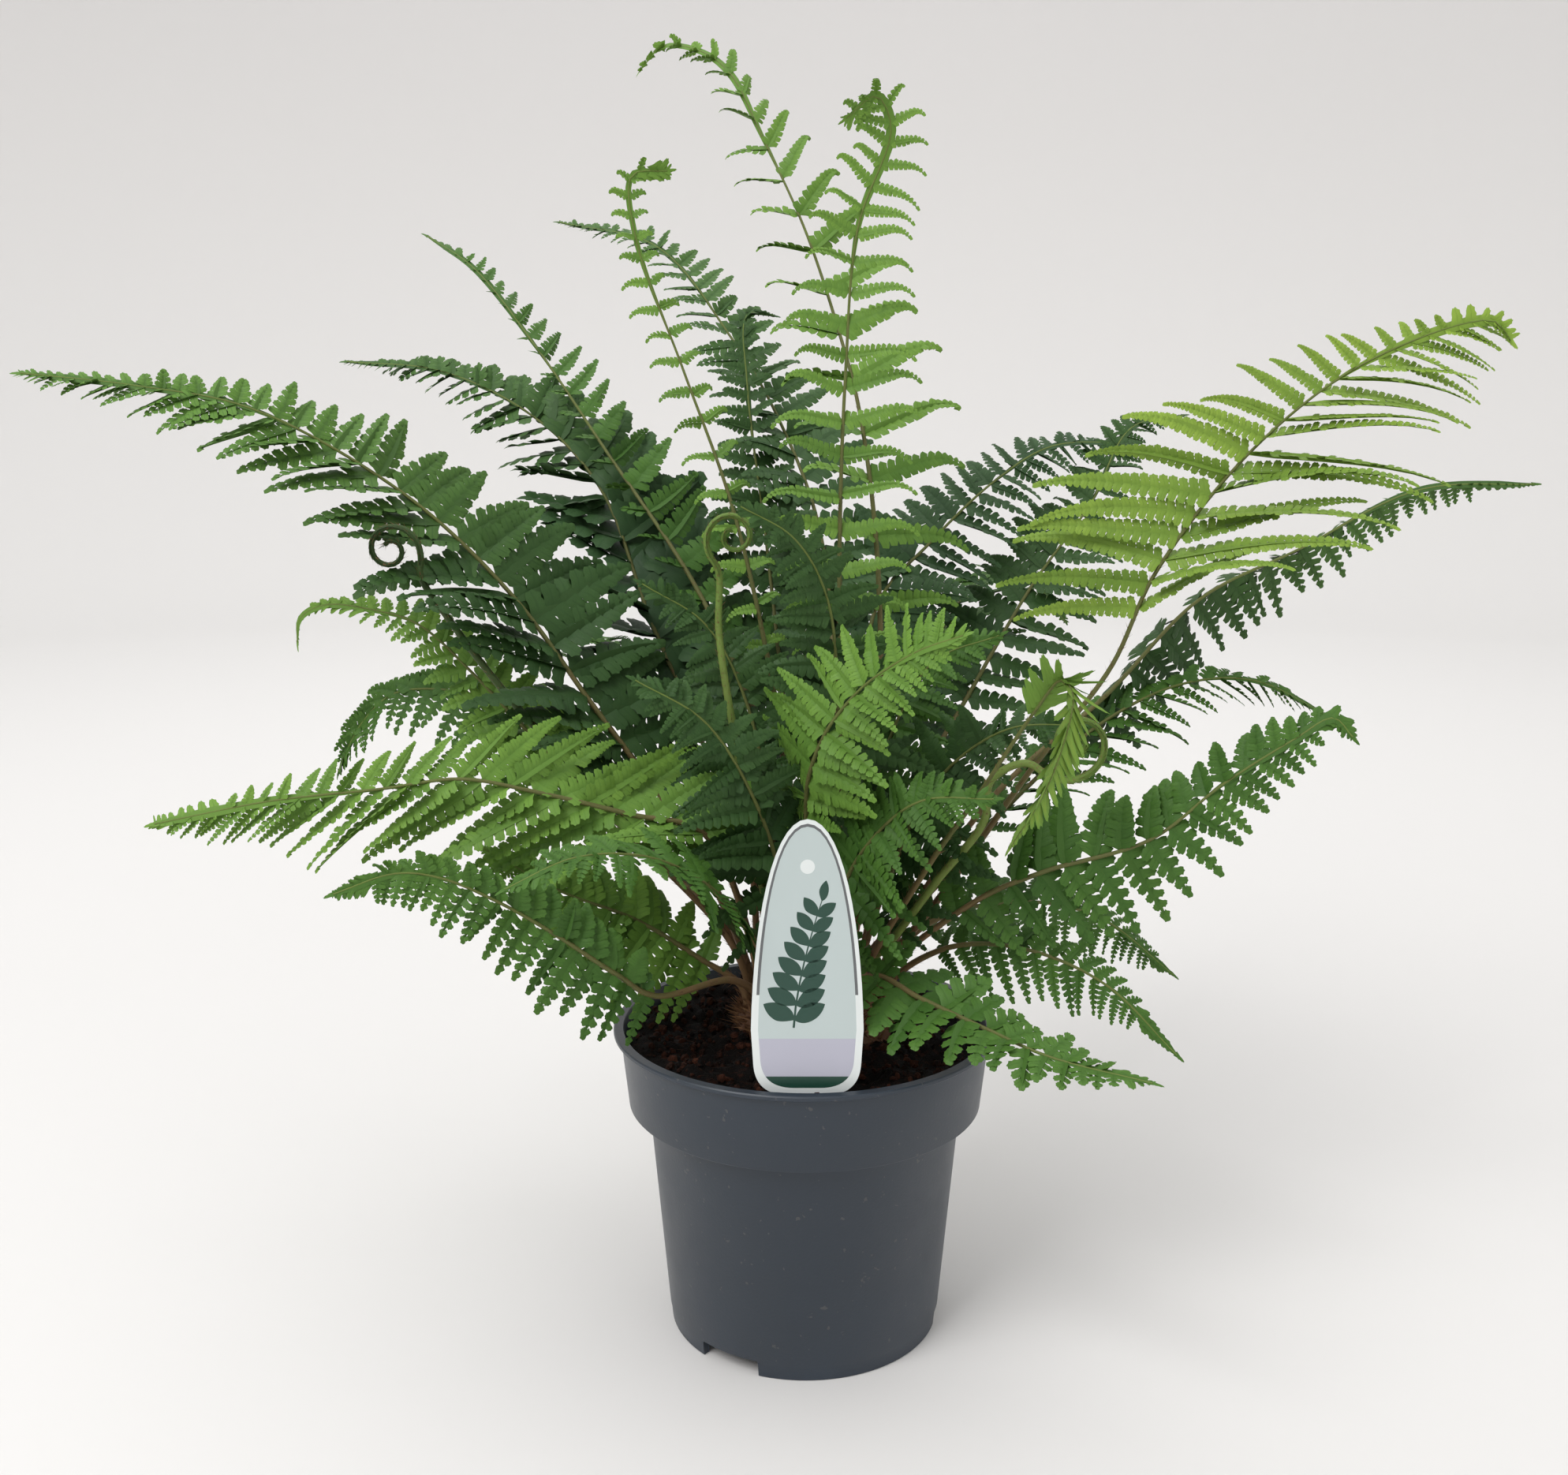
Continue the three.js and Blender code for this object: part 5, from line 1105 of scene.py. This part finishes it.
class FERN_OT_crown(bpy.types.Operator):
    """Makes the scaly crown from which the stalks rise"""

    bl_idname = "fern.crown"
    bl_label = "Scaly crown"

    def execute(self, context):
        """Makes the crown's body and its coat of scales."""
        rise = CROWN["top"] - CROWN["shoulder"]
        steps = [math.radians(a) for a in range(0, 88, 8)]
        dome = [(CROWN["radius"] * math.cos(a), CROWN["shoulder"] + rise * math.sin(a)) for a in steps]
        profile = [(6, 134.4), (35, 134.4), (37.5, 142), *dome]
        body = turned([(r * MM, z * MM) for r, z in profile], 48, "crown_body")
        for vertex in body.data.vertices:
            bump = noise.fractal(vertex.co / MM * 0.11, 0.9, 2.0, 4)
            vertex.co *= 1 + 0.012 * bump
        body.data.transform(Matrix.Translation((CROWN["x"] * MM, CROWN["y"] * MM, 0)))
        smooth(body, 60)
        bark = scale_material()
        dress(body, "crown", "crown", bark)
        coat = self.coat()
        smooth(coat, 30)
        dress(coat, None, "crown", bark)
        return {"FINISHED"}

    def coat(self):
        """Overlapping scales that point up and out over the dome."""
        sliver, faces = model_sliver()
        rng = np.random.default_rng(SEEDS["crown"])
        heap = Heap()
        for _ in range(CROWN_SCALES):
            distance, angle = disc_spot(rng, CROWN["radius"])
            way = np.array([math.cos(angle), math.sin(angle), 0])
            place = way * distance + [CROWN["x"], CROWN["y"], crown_surface(distance) - 0.6]
            rise = rng.uniform(0.3, 1.4) * (1.4 - distance / CROWN["radius"])
            heading = unit(way * rng.uniform(0.2, 1.0) + [0, 0, rise + 0.15] + rng.normal(size=3) * 0.35)
            basis = sliver_axes(heading, rng.normal(size=3))
            size = np.array([rng.uniform(0.9, 2.0), rng.uniform(4, 11), 0.8])
            heap.add((sliver * size @ basis + place)[None], faces, 0, rng.random(), rng.random())
        return heap.piece("crown_scales")


class FERN_OT_fronds(bpy.types.Operator):
    """Grows every frond: midrib, leaflets cut into toothed pinnules, and dry scales on its stalk"""

    bl_idname = "fern.fronds"
    bl_label = "Fronds"

    def execute(self, context):
        """Grows the fronds."""
        self.settings = settings = context.scene.fern_foliage
        self.fine, self.plain = model_pinnule(6), model_pinnule(3)
        self.sliver = model_sliver()
        self.rod, self.costa, self.wing = (model_rod(sides, RINGS[use]) for sides, use in
                                           ((8, "stalk"), (3, "costa"), (4, "wing")))
        leaves = {tone: leaf_material(tone, getattr(settings, tone)) for tone in
                  ("bright", "fresh", "green", "dark", "blue")}
        stalk = stalk_material("Fern stalk", (0.2, 0.12, 0.058), (0.095, 0.115, 0.032), (0.12, 0.2, 0.035))
        scales = scale_material()
        for number, (name, plan) in enumerate(FRONDS.items()):
            piece = self.grow(name, plan, np.random.default_rng(settings.seed * 100 + number))
            smooth(piece, 50)
            leaf = leaves[plan["leaf"] or plan["tone"]]
            dress(piece, name, "frond_" + plan["tone"], leaf, stalk, scales)
        return {"FINISHED"}

    def grow(self, name, plan, rng):
        """One frond."""
        midrib = Midrib(plan)
        bends = used_bends(name, plan, midrib)
        heap = Heap()
        self.add_midrib(heap, midrib)
        self.add_scales(heap, midrib, plan, rng)
        rows, crowd, loose = plan["rows"], plan["crowd"], plan["loose"]
        leafy = midrib.length * (1 - plan["bare"])
        for row in range(rows):
            place = pair_place(rows, row, crowd)
            start, end = (pair_place(rows, index, crowd) for index in (row - 0.4, min(row + 0.5, rows - 0.5)))
            # The share of painted sunlight for this row's leaflets.
            heap.sun = np.interp(place, (0.35, 0.75), plan["sun"])
            for sign in (1, -1):
                bend = bend_at(bends, plan, place, sign)
                length = rng.uniform(*SWAY["length"]) * plan["stretch"]
                sway = (rng.normal() * SWAY["sweep"] * loose, rng.normal() * SWAY["rise"] * loose, length,
                        rng.uniform(*SWAY["droop"]))
                shift = rng.uniform(-SWAY["shift"], SWAY["shift"]) / rows
                spot = min(max(place + shift * (1 - place), 0), 1)
                leaflet = Leaflet(plan, midrib, spot, sign, bend, sway)
                if leaflet.length < plan["simple"]:
                    self.add_lobe(heap, leaflet, leafy * (end - start))
                else:
                    leaflet.width *= plan["broad"]
                    self.add_leaflet(heap, leaflet, rng, self.fine if plan["fine"] else self.plain)
        self.add_wing(heap, midrib, plan)
        self.add_tip(heap, midrib)
        return heap.piece(name + "_leafy")

    def add_midrib(self, heap, midrib):
        """The frond's stalk and midrib."""
        share = np.linspace(0, 1, RINGS["stalk"] + 1)
        points, _, up, _ = midrib.at(share * midrib.length)
        radii = STALK_RADIUS * (1 - share) ** 1.3 * 0.92 + STALK_TIP_RADIUS
        heap.add(lay_rod(self.rod, points, up, radii), self.rod[1], 1, share[rod_rings(self.rod)][None])

    def add_scales(self, heap, midrib, plan, rng):
        """Dry scales, dense at the foot of the stalk and sparse along it."""
        sliver, faces = self.sliver
        reach = midrib.length * (plan["bare"] + 0.2)
        count = int(reach * 1.1)
        distances = 8 + reach * rng.random(count) ** 1.8
        points, along, up, side = midrib.at(distances)
        angles = rng.random(count) * 2 * math.pi
        away = side * np.cos(angles)[:, None] + up * np.sin(angles)[:, None]
        radius = STALK_RADIUS - 1.1 * distances / midrib.length
        heading = unit(along * 0.8 + away * rng.uniform(0.25, 0.8, (count, 1)))
        fade = 1 - 0.6 * distances / distances.max()
        size = [rng.uniform(0.4, 0.9, count), rng.uniform(2.5, 6, count), np.full(count, 0.5)]
        size = np.stack(size, axis=1) * fade[:, None]
        feet = points + away * (radius * 0.85)[:, None]
        shapes = (sliver[None] * size[:, None]) @ sliver_axes(heading, away) + feet[:, None]
        heap.add(shapes, faces, 2, 0.5, rng.random((count, 1)))

    def add_lobe(self, heap, leaflet, room):
        """A short leaflet near the tip, which is a single toothed and pointed blade."""
        out = unit(leaflet.heading(0.5) + 0.35 * leaflet.forward)
        face = unit(leaflet.face - out * np.dot(out, leaflet.face))
        width = min(1.5 * room, 0.85 * leaflet.length)
        self.add_blade(heap, self.fine, leaflet.base, out, face, width, 1.1 * leaflet.length,
                       0.3 + 0.7 * leaflet.place, point=0.62)

    def add_wing(self, heap, midrib, plan):
        """The leafy wing along the midrib where the leaflets grow together towards the tip."""
        place = np.linspace(0.6, 1, RINGS["wing"] + 1)
        points, _, up, _ = midrib.at(midrib.length * (plan["bare"] + (1 - plan["bare"]) * place) * 0.998)
        width = 2.4 * np.interp(place, (0.6, 0.82, 0.95, 1), (0.1, 0.9, 1, 0.3))
        width *= min(1, max(plan["long"]) / 30)
        shape = lay_rod(self.wing, points, up, width, 0.1)
        heap.add(shape, self.wing[1], 0, 0.8)

    def add_tip(self, heap, midrib):
        """The small blade that ends a frond."""
        base, along, up, _ = midrib.at(midrib.length - 1.0)
        self.add_blade(heap, self.fine, base, along, up, 2.6, 6.0, 1.0, point=0.7)

    def add_leaflet(self, heap, leaflet, rng, master):
        """One leaflet: the web along its costa, two rows of pinnules and one at its end."""
        half = leaflet.width * self.settings.slimness
        spacing = max(2.2, half * self.settings.spacing)
        start = min(0.3, 0.5 / leaflet.length)
        count = max(3, round(leaflet.length * (1 - start) * 1.12 / spacing))
        edges = start + (1 - start) * (1 - (1 - np.arange(count + 1) / (count + 0.8)) ** 1.25)
        s = (edges[1:] + edges[:-1]) / 2
        age = 0.25 + 0.6 * leaflet.place
        tone = rng.random()
        roll, cup = math.radians(rng.normal() * SWAY["roll"]), math.radians(rng.uniform(-6, 20))
        along = leaflet.heading(s)
        normal = unit(leaflet.face - along * (along @ leaflet.face)[:, None])
        side = np.cross(normal, along)
        normal, side = (normal * math.cos(roll) + side * math.sin(roll),
                        side * math.cos(roll) - normal * math.sin(roll))
        lean = np.radians(16 + 30 * s ** 2)[:, None]
        foot = 1.14 - 0.14 * np.minimum(1, s / 0.12)
        reach = half * (1 - s ** 1.9) * foot + 0.25 * spacing
        for way in (1, -1):
            out = side * way * np.cos(lean) + along * np.sin(lean)
            across = way * (along * np.cos(lean) - side * way * np.sin(lean))
            tilt = cup + np.radians(rng.normal(size=(count, 1)) * 5)
            ahead = out * np.cos(tilt) + normal * np.sin(tilt)
            above = normal * np.cos(tilt) - out * np.sin(tilt)
            length = reach * rng.uniform(0.93, 1.07, count)
            width = np.diff(edges) * leaflet.length * rng.uniform(1.04, 1.14, count)
            shade = tone + rng.normal(size=(count, 1)) * 0.12
            self.add_blades(heap, master, leaflet.spine(s), across, ahead, above, width, length, age, shade,
                            s)
        end, last = leaflet.heading(1.0), edges[-1]
        face = unit(leaflet.face - end * np.dot(end, leaflet.face))
        self.add_blade(heap, self.plain, leaflet.spine(last - 0.02), end, face, spacing * 0.7,
                       (1.04 - last) * leaflet.length, age, tone, 1.0)
        steps = np.linspace(0, 0.97, RINGS["costa"] + 1)
        turned_face = leaflet.face * math.cos(roll) + leaflet.across * math.sin(roll) * leaflet.sign
        faces = np.broadcast_to(turned_face, (len(steps), 3))
        web = half * 0.42 * (1 - steps ** 1.9) * np.minimum(1, 0.5 + steps * 6) + 0.15
        shape = lay_rod(self.costa, leaflet.spine(steps) - faces * 0.12, faces, web, 0.09)
        heap.add(shape, self.costa[1], 0, age * 0.8, tone)

    def add_blade(self, heap, master, root, ahead, above, width, length, age, tone=0.5, s=0.5, point=0.28):
        """One pinnule on its own."""
        self.add_blades(heap, master, root[None], np.cross(ahead, above)[None], ahead[None], above[None],
                        np.array([width]), np.array([length]), age, tone, np.array([s]), point)

    def add_blades(self, heap, master, roots, across, ahead, above, width, length, age, tone, s, point=0.28):
        """Copies of a pinnule along a leaflet, each arched down to its end."""
        points, faces, under, uv = master
        x, y, z = points.T
        x = x * (1 - point * y)
        grow = lambda axis, amount: axis[:, None, :] * amount[:, :, None]
        wide, long = width[:, None], length[:, None]
        shapes = roots[:, None] + grow(across, wide * (x - 0.12 * y ** 2)) + grow(ahead, long * y)
        shapes = shapes + grow(above, wide * z - long * 0.12 * y ** 2)
        heap.add(shapes, faces, 0, np.clip(age + 0.3 * s, 0, 1)[:, None], tone, under[None], uv)


class FERN_OT_croziers(bpy.types.Operator):
    """Makes the young croziers, hairy stalks that are still rolled up at the end"""

    bl_idname = "fern.croziers"
    bl_label = "Croziers"

    def execute(self, context):
        """Makes the croziers."""
        self.pinnule, self.sliver = model_pinnule(3), model_sliver()
        self.rod = model_rod(10, RINGS["crozier"])
        light = stalk_material("Crozier skin", (0.13, 0.12, 0.04), (0.16, 0.23, 0.05), (0.11, 0.21, 0.035))
        dark = stalk_material("Dark crozier skin", (0.06, 0.06, 0.02), (0.045, 0.08, 0.02),
                              (0.025, 0.06, 0.014))
        scales = scale_material()
        for number, (name, plan) in enumerate(CROZIERS.items()):
            piece = self.roll(name, plan, np.random.default_rng(SEEDS["croziers"] + number))
            smooth(piece, 50)
            dress(piece, name, "crozier", dark if plan.get("dark") else light, scales)
        return {"FINISHED"}

    def roll(self, name, plan, rng):
        """One crozier."""
        centre = np.array(plan["coil_centre"], float)
        start = np.array(plan["route"][-1]) - centre
        first = math.atan2(start[2], start[0])
        steps = COIL["steps"]
        coil = []
        for i in range(1, steps + 1):
            share = i / steps
            angle = first + plan["turn"] * share * plan["coil_turns"] * 2 * math.pi
            radius = np.linalg.norm(start) + (COIL["inner"] - np.linalg.norm(start)) * math.sqrt(share)
            coil.append(centre + radius * np.array([math.cos(angle), 0, math.sin(angle)]))
        line = stalk_line(plan, coil, 600)
        reach = line_reach(line)
        share = np.linspace(0, 1, RINGS["crozier"] + 1)
        points = line_values(share * reach[-1], reach, line)
        ups = np.broadcast_to([0.0, -1.0, 0.05], points.shape)
        radii = COIL["stalk_radius"] + (COIL["end_radius"] - COIL["stalk_radius"]) * share ** 3
        heap = Heap()
        age = 0.2 + 0.8 * share[rod_rings(self.rod)][None]
        heap.add(lay_rod(self.rod, points, ups, radii), self.rod[1], 0, age)
        self.add_buds(heap, points, share, radii, reach[-1], rng)
        self.add_hairs(heap, points, share, radii, rng)
        return heap.piece(name + "_hairy")

    def add_buds(self, heap, points, share, radii, length, rng):
        """Rolled leaflets, as small lobes along the sides of the last stretch."""
        shape, faces, _, uv = self.pinnule
        along = unit(np.gradient(points, axis=0))
        side = np.array([0.0, -1.0, 0.0])
        for i in range(len(points)):
            if share[i] * length < length - 75:
                continue
            for way in (1, -1):
                wide = along[i] * way
                ahead = unit(side * way + along[i] * 0.5)
                above = np.cross(wide, ahead)
                size = np.array([2.6, 4.4, 1.6]) * rng.uniform(0.75, 1.15)
                basis = np.stack([wide, ahead, above])
                place = points[i] + side * way * radii[i] * 0.5
                heap.add((shape * size @ basis + place)[None], faces, 0, 0.9, rng.random(), 0.3, uv)

    def add_hairs(self, heap, points, share, radii, rng):
        """Fine brown hairs."""
        sliver, faces = self.sliver
        along = unit(np.gradient(points, axis=0))
        for i in range(4, len(points)):
            for _ in range(5):
                away = unit(np.cross(along[i], rng.normal(size=3)))
                basis = sliver_axes(unit(away * 0.6 + along[i] * 0.8), away)
                size = np.array([0.35, rng.uniform(1.6, 3.6), 0.35])
                shape = sliver * size @ basis + points[i] + away * radii[i] * 0.85
                heap.add(shape[None], faces, 1, 0.5, rng.random())


class FERN_OT_label(bpy.types.Operator):
    """Makes the plain oval plant label with its border, its bands of colour and a simple leaf drawing"""

    bl_idname = "fern.label"
    bl_label = "Plant label"

    def execute(self, context):
        """Makes the label: printed areas are sheets that stand a few hundredths of a millimetre proud."""
        self.settings = context.scene.fern_label
        heap = Heap()
        half, height = self.settings.width / MM / 2, self.settings.height / MM
        border, paper = LABEL["border"], LABEL["paper"]
        heap.add(*self.sheet(self.outline(half, height, 0, spike=True), -0.4, 0.4), 0, 0)
        for inset, level, below, slot in (
                (border, 0.43, None, 1), (border, 0.45, LABEL["white_top"], 0), (paper, 0.48, None, 2),
                (paper, 0.5, LABEL["band_top"], 3), (paper, 0.52, LABEL["foot_top"], 4)):
            heap.add(*self.sheet(self.outline(half, height, inset), 0.3, level, below), slot, 0)
        dot = self.oval(0, LABEL["dot_height"], LABEL["dot_radius"], LABEL["dot_radius"])
        heap.add(*self.sheet(dot, 0.3, 0.5), 0, 0)
        self.add_sprig(heap)
        turn, y, z = math.radians(90 - LABEL["lean"]), LABEL["y"], LABEL["z"]
        points = np.concatenate(heap.points)
        across, up, proud = points.T
        placed = np.stack([across, y + up * math.cos(turn) - proud * math.sin(turn),
                           z + up * math.sin(turn) + proud * math.cos(turn)], axis=1)
        label = mesh_piece("plant_label", placed, np.concatenate(heap.triangles),
                           slots=np.concatenate(heap.slots))
        colours = [("Label plastic", (0.72, 0.76, 0.75)), ("Label border", (0.12, 0.125, 0.13)),
                   ("Label paper", self.settings.paper), ("Label band", (0.44, 0.44, 0.52)),
                   ("Label ink", self.settings.ink)]
        made = []
        for name, value in colours:
            finish, _ = material(name, 0.32, **{"Base Color": colour(value)})
            made.append(finish)
        dress(label, "label", "label", *made)
        return {"FINISHED"}

    def outline(self, half, height, inset, spike=False):
        """The label's outline: each point with its two handles, or just the point at a corner."""
        half, foot, height = half - inset, inset, height - inset
        low = half - 16, foot
        side = half - 1, 14 + foot / 2
        bend = half - 2, foot
        lean = lambda p: (p[0] + (bend[0] - p[0]) * 2 / 3, p[1] + (bend[1] - p[1]) * 2 / 3)
        right = [(low, low, lean(low)), (side, lean(side), side), ((half, 30), (half, 30), (half - 1, 78))]
        top = [((0, height), (half * 0.62, height), (-half * 0.62, height))]
        flip = lambda p: (-p[0], p[1])
        left = [(flip(p), flip(out), flip(back)) for p, back, out in reversed(right)]
        foot_points = [(-6.5, 0), (-6.5, -21), (0, -30), (6.5, -21), (6.5, 0)] if spike else []
        return [*right, *top, *left, *((p, p, p) for p in foot_points)]

    def oval(self, x, y, wide, tall):
        """A round or oval outline."""
        reach = 0.552
        return [((x, y + tall), (x + reach * wide, y + tall), (x - reach * wide, y + tall)),
                ((x - wide, y), (x - wide, y + reach * tall), (x - wide, y - reach * tall)),
                ((x, y - tall), (x - reach * wide, y - tall), (x + reach * wide, y - tall)),
                ((x + wide, y), (x + wide, y - reach * tall), (x + wide, y + reach * tall))]

    def sheet(self, outline, low, high, below=None):
        """A flat body from an outline, between two levels, kept below a line if one is given."""
        start_clean()
        curve = bpy.data.curves.new("outline", "CURVE")
        curve.dimensions = "2D"
        curve.fill_mode = "BOTH"
        curve.extrude = (high - low) / 2
        curve.resolution_u = 14
        spline = curve.splines.new("BEZIER")
        spline.bezier_points.add(len(outline) - 1)
        for point, (place, back, out) in zip(spline.bezier_points, outline):
            point.co = (*place, 0)
            point.handle_left = (*back, 0)
            point.handle_right = (*out, 0)
        spline.use_cyclic_u = True
        only(new_object("outline", curve))
        bpy.ops.object.convert(target="MESH")
        piece = bpy.context.object
        bpy.ops.object.mode_set(mode="EDIT")
        bpy.ops.mesh.select_all(action="SELECT")
        bpy.ops.mesh.remove_doubles(threshold=1e-4)
        bpy.ops.transform.translate(value=(0, 0, (high + low) / 2))
        if below is not None:
            bpy.ops.mesh.bisect(plane_co=(0, below, 0), plane_no=(0, 1, 0), use_fill=True,
                                clear_outer=True)
        face_out()
        points, triangles = read_mesh(piece)
        return points[None], triangles

    def add_sprig(self, heap):
        """A bent twig with oval leaves on both sides, printed in the dark ink."""
        oval_leaf = [((0, 0), (0, 0), (0.3, 0.1)), ((0.36, 0.5), (0.38, 0.3), (0.34, 0.75)),
                     ((0, 1), (0.12, 0.92), (-0.12, 0.92)), ((-0.36, 0.5), (-0.34, 0.75), (-0.38, 0.3))]
        leaf, faces = self.sheet(oval_leaf, 0.3, 0.52)
        stem = lambda t: np.array([-6 + 13 * t ** 1.5, 31 + 60 * t])
        for i in range(9):
            share = i / 8
            base = stem(0.06 + 0.9 * share)
            size = 15.5 - 6 * share
            for way in (1, -1) if share < 1 else (0,):
                angle = math.radians(-12 * share - way * (62 - 20 * share))
                x, y, z = (leaf[0] * (size * (0.72 if way else 0.6), size, 1)).T
                x, y = x * math.cos(angle) - y * math.sin(angle), x * math.sin(angle) + y * math.cos(angle)
                heap.add(np.stack([x + base[0], y + base[1], z], axis=1)[None], faces, 4, 0)
        line = [stem(t) for t in np.linspace(0, 1, 7)]
        edge = [(p[0] - 0.5 + 0.3 * i / 6, p[1]) for i, p in enumerate(line)]
        back = [(p[0] + 0.5 - 0.3 * i / 6, p[1]) for i, p in enumerate(line)]
        heap.add(*self.sheet([(p, p, p) for p in (*back, *reversed(edge))], 0.3, 0.53), 4, 0)


class FERN_OT_stage(bpy.types.Operator):
    """Sets the pale floor and backdrop, the soft studio light and the camera"""

    bl_idname = "fern.stage"
    bl_label = "Stage"

    def execute(self, context):
        """Makes the stage."""
        settings = context.scene.fern_stage
        start_clean()
        flat, bend, top = BACKDROP["floor_radius"], BACKDROP["bend"], BACKDROP["top"]
        turns = [math.radians(a) for a in range(0, 91, 9)]
        curve = [(flat + bend * math.sin(a), bend - bend * math.cos(a)) for a in turns]
        sweep = turned([(flat + bend, top), *reversed(curve), (1.0, 0)], 96, "backdrop")
        bpy.ops.object.mode_set(mode="EDIT")
        pick(sweep, lambda p: p.z > top - 0.1 and p.xy.length < 0.1, faces=True)
        bpy.ops.mesh.delete(type="FACE")
        start_clean()
        smooth(sweep, 60)
        paper, w = material("Backdrop paper", 0.9)
        # Painted light: the paper's colour is darker near the plant, paler far off on the floor and darker
        # again up the wall, standing in for how the lamps' light falls over the sweep.
        reach = w.add("ShaderNodeVectorMath", {0: w.place()}, operation="LENGTH").outputs["Value"]
        ground = w.mix(w.span(reach, 0.8, 3.4), colour(settings.floor), colour(settings.far))
        climb = w.span(w.height(w.place()), 0.1, 2.1)
        w.join(w.mix(climb, ground, colour(settings.wall)), "Base Color")
        sweep.data.materials.append(paper)
        for lamp in LIGHTS:
            self.light(*lamp)
        world = bpy.data.worlds.new("Studio")
        world.use_nodes = True
        sky = world.node_tree.nodes["Background"]
        sky.inputs["Color"].default_value = SKY["colour"]
        sky.inputs["Strength"].default_value = SKY["strength"]
        context.scene.world = world
        context.scene.view_settings.view_transform = "Standard"
        data = bpy.data.cameras.new("View")
        data.lens = settings.lens
        data.sensor_width = settings.sensor
        camera = new_object("View", data)
        camera.location = settings.camera
        camera.rotation_euler = (math.pi / 2 - settings.pitch, 0, 0)
        context.scene.camera = camera
        return {"FINISHED"}

    def light(self, name, place, size, power, target):
        """A square soft light that looks at a place."""
        data = bpy.data.lights.new(name, "AREA")
        data.size = size
        data.energy = power
        lamp = new_object(name, data)
        lamp.location = place
        lamp.rotation_euler = (Vector(target) - Vector(place)).to_track_quat("-Z", "Y").to_euler()


PIECES = (FERN_OT_pot, FERN_OT_soil, FERN_OT_crown, FERN_OT_label, FERN_OT_fronds, FERN_OT_croziers,
          FERN_OT_stage)
SETTINGS = {"fern_pot": FernPotSettings, "fern_soil": FernSoilSettings, "fern_foliage": FernFoliageSettings,
            "fern_label": FernLabelSettings, "fern_stage": FernStageSettings}


class FERN_PT_panel(bpy.types.Panel):
    """The fern's settings and pieces in the sidebar"""

    bl_idname = "FERN_PT_panel"
    bl_label = "Potted male fern"
    bl_space_type = "VIEW_3D"
    bl_region_type = "UI"
    bl_category = "Fern"

    def draw(self, context):
        """Lists the settings and one button for each piece."""
        for key, kind in SETTINGS.items():
            settings = getattr(context.scene, key)
            box = self.layout.box()
            box.label(text=kind.__doc__)
            for name in kind.__annotations__:
                box.prop(settings, name)
        for piece in PIECES:
            self.layout.operator(piece.bl_idname)


def register():
    """Registers the settings, the operators and the panel."""
    for kind in (*SETTINGS.values(), *PIECES, FERN_PT_panel):
        bpy.utils.register_class(kind)
    for key, kind in SETTINGS.items():
        setattr(bpy.types.Scene, key, PointerProperty(type=kind))


def unregister():
    """Takes them away again."""
    for key in SETTINGS:
        delattr(bpy.types.Scene, key)
    for kind in reversed((*SETTINGS.values(), *PIECES, FERN_PT_panel)):
        bpy.utils.unregister_class(kind)


def main():
    """Makes the whole fern."""
    register()
    for piece in PIECES:
        group_name, name = piece.bl_idname.split(".")
        getattr(getattr(bpy.ops, group_name), name)()


if __name__ == "__main__":
    main()
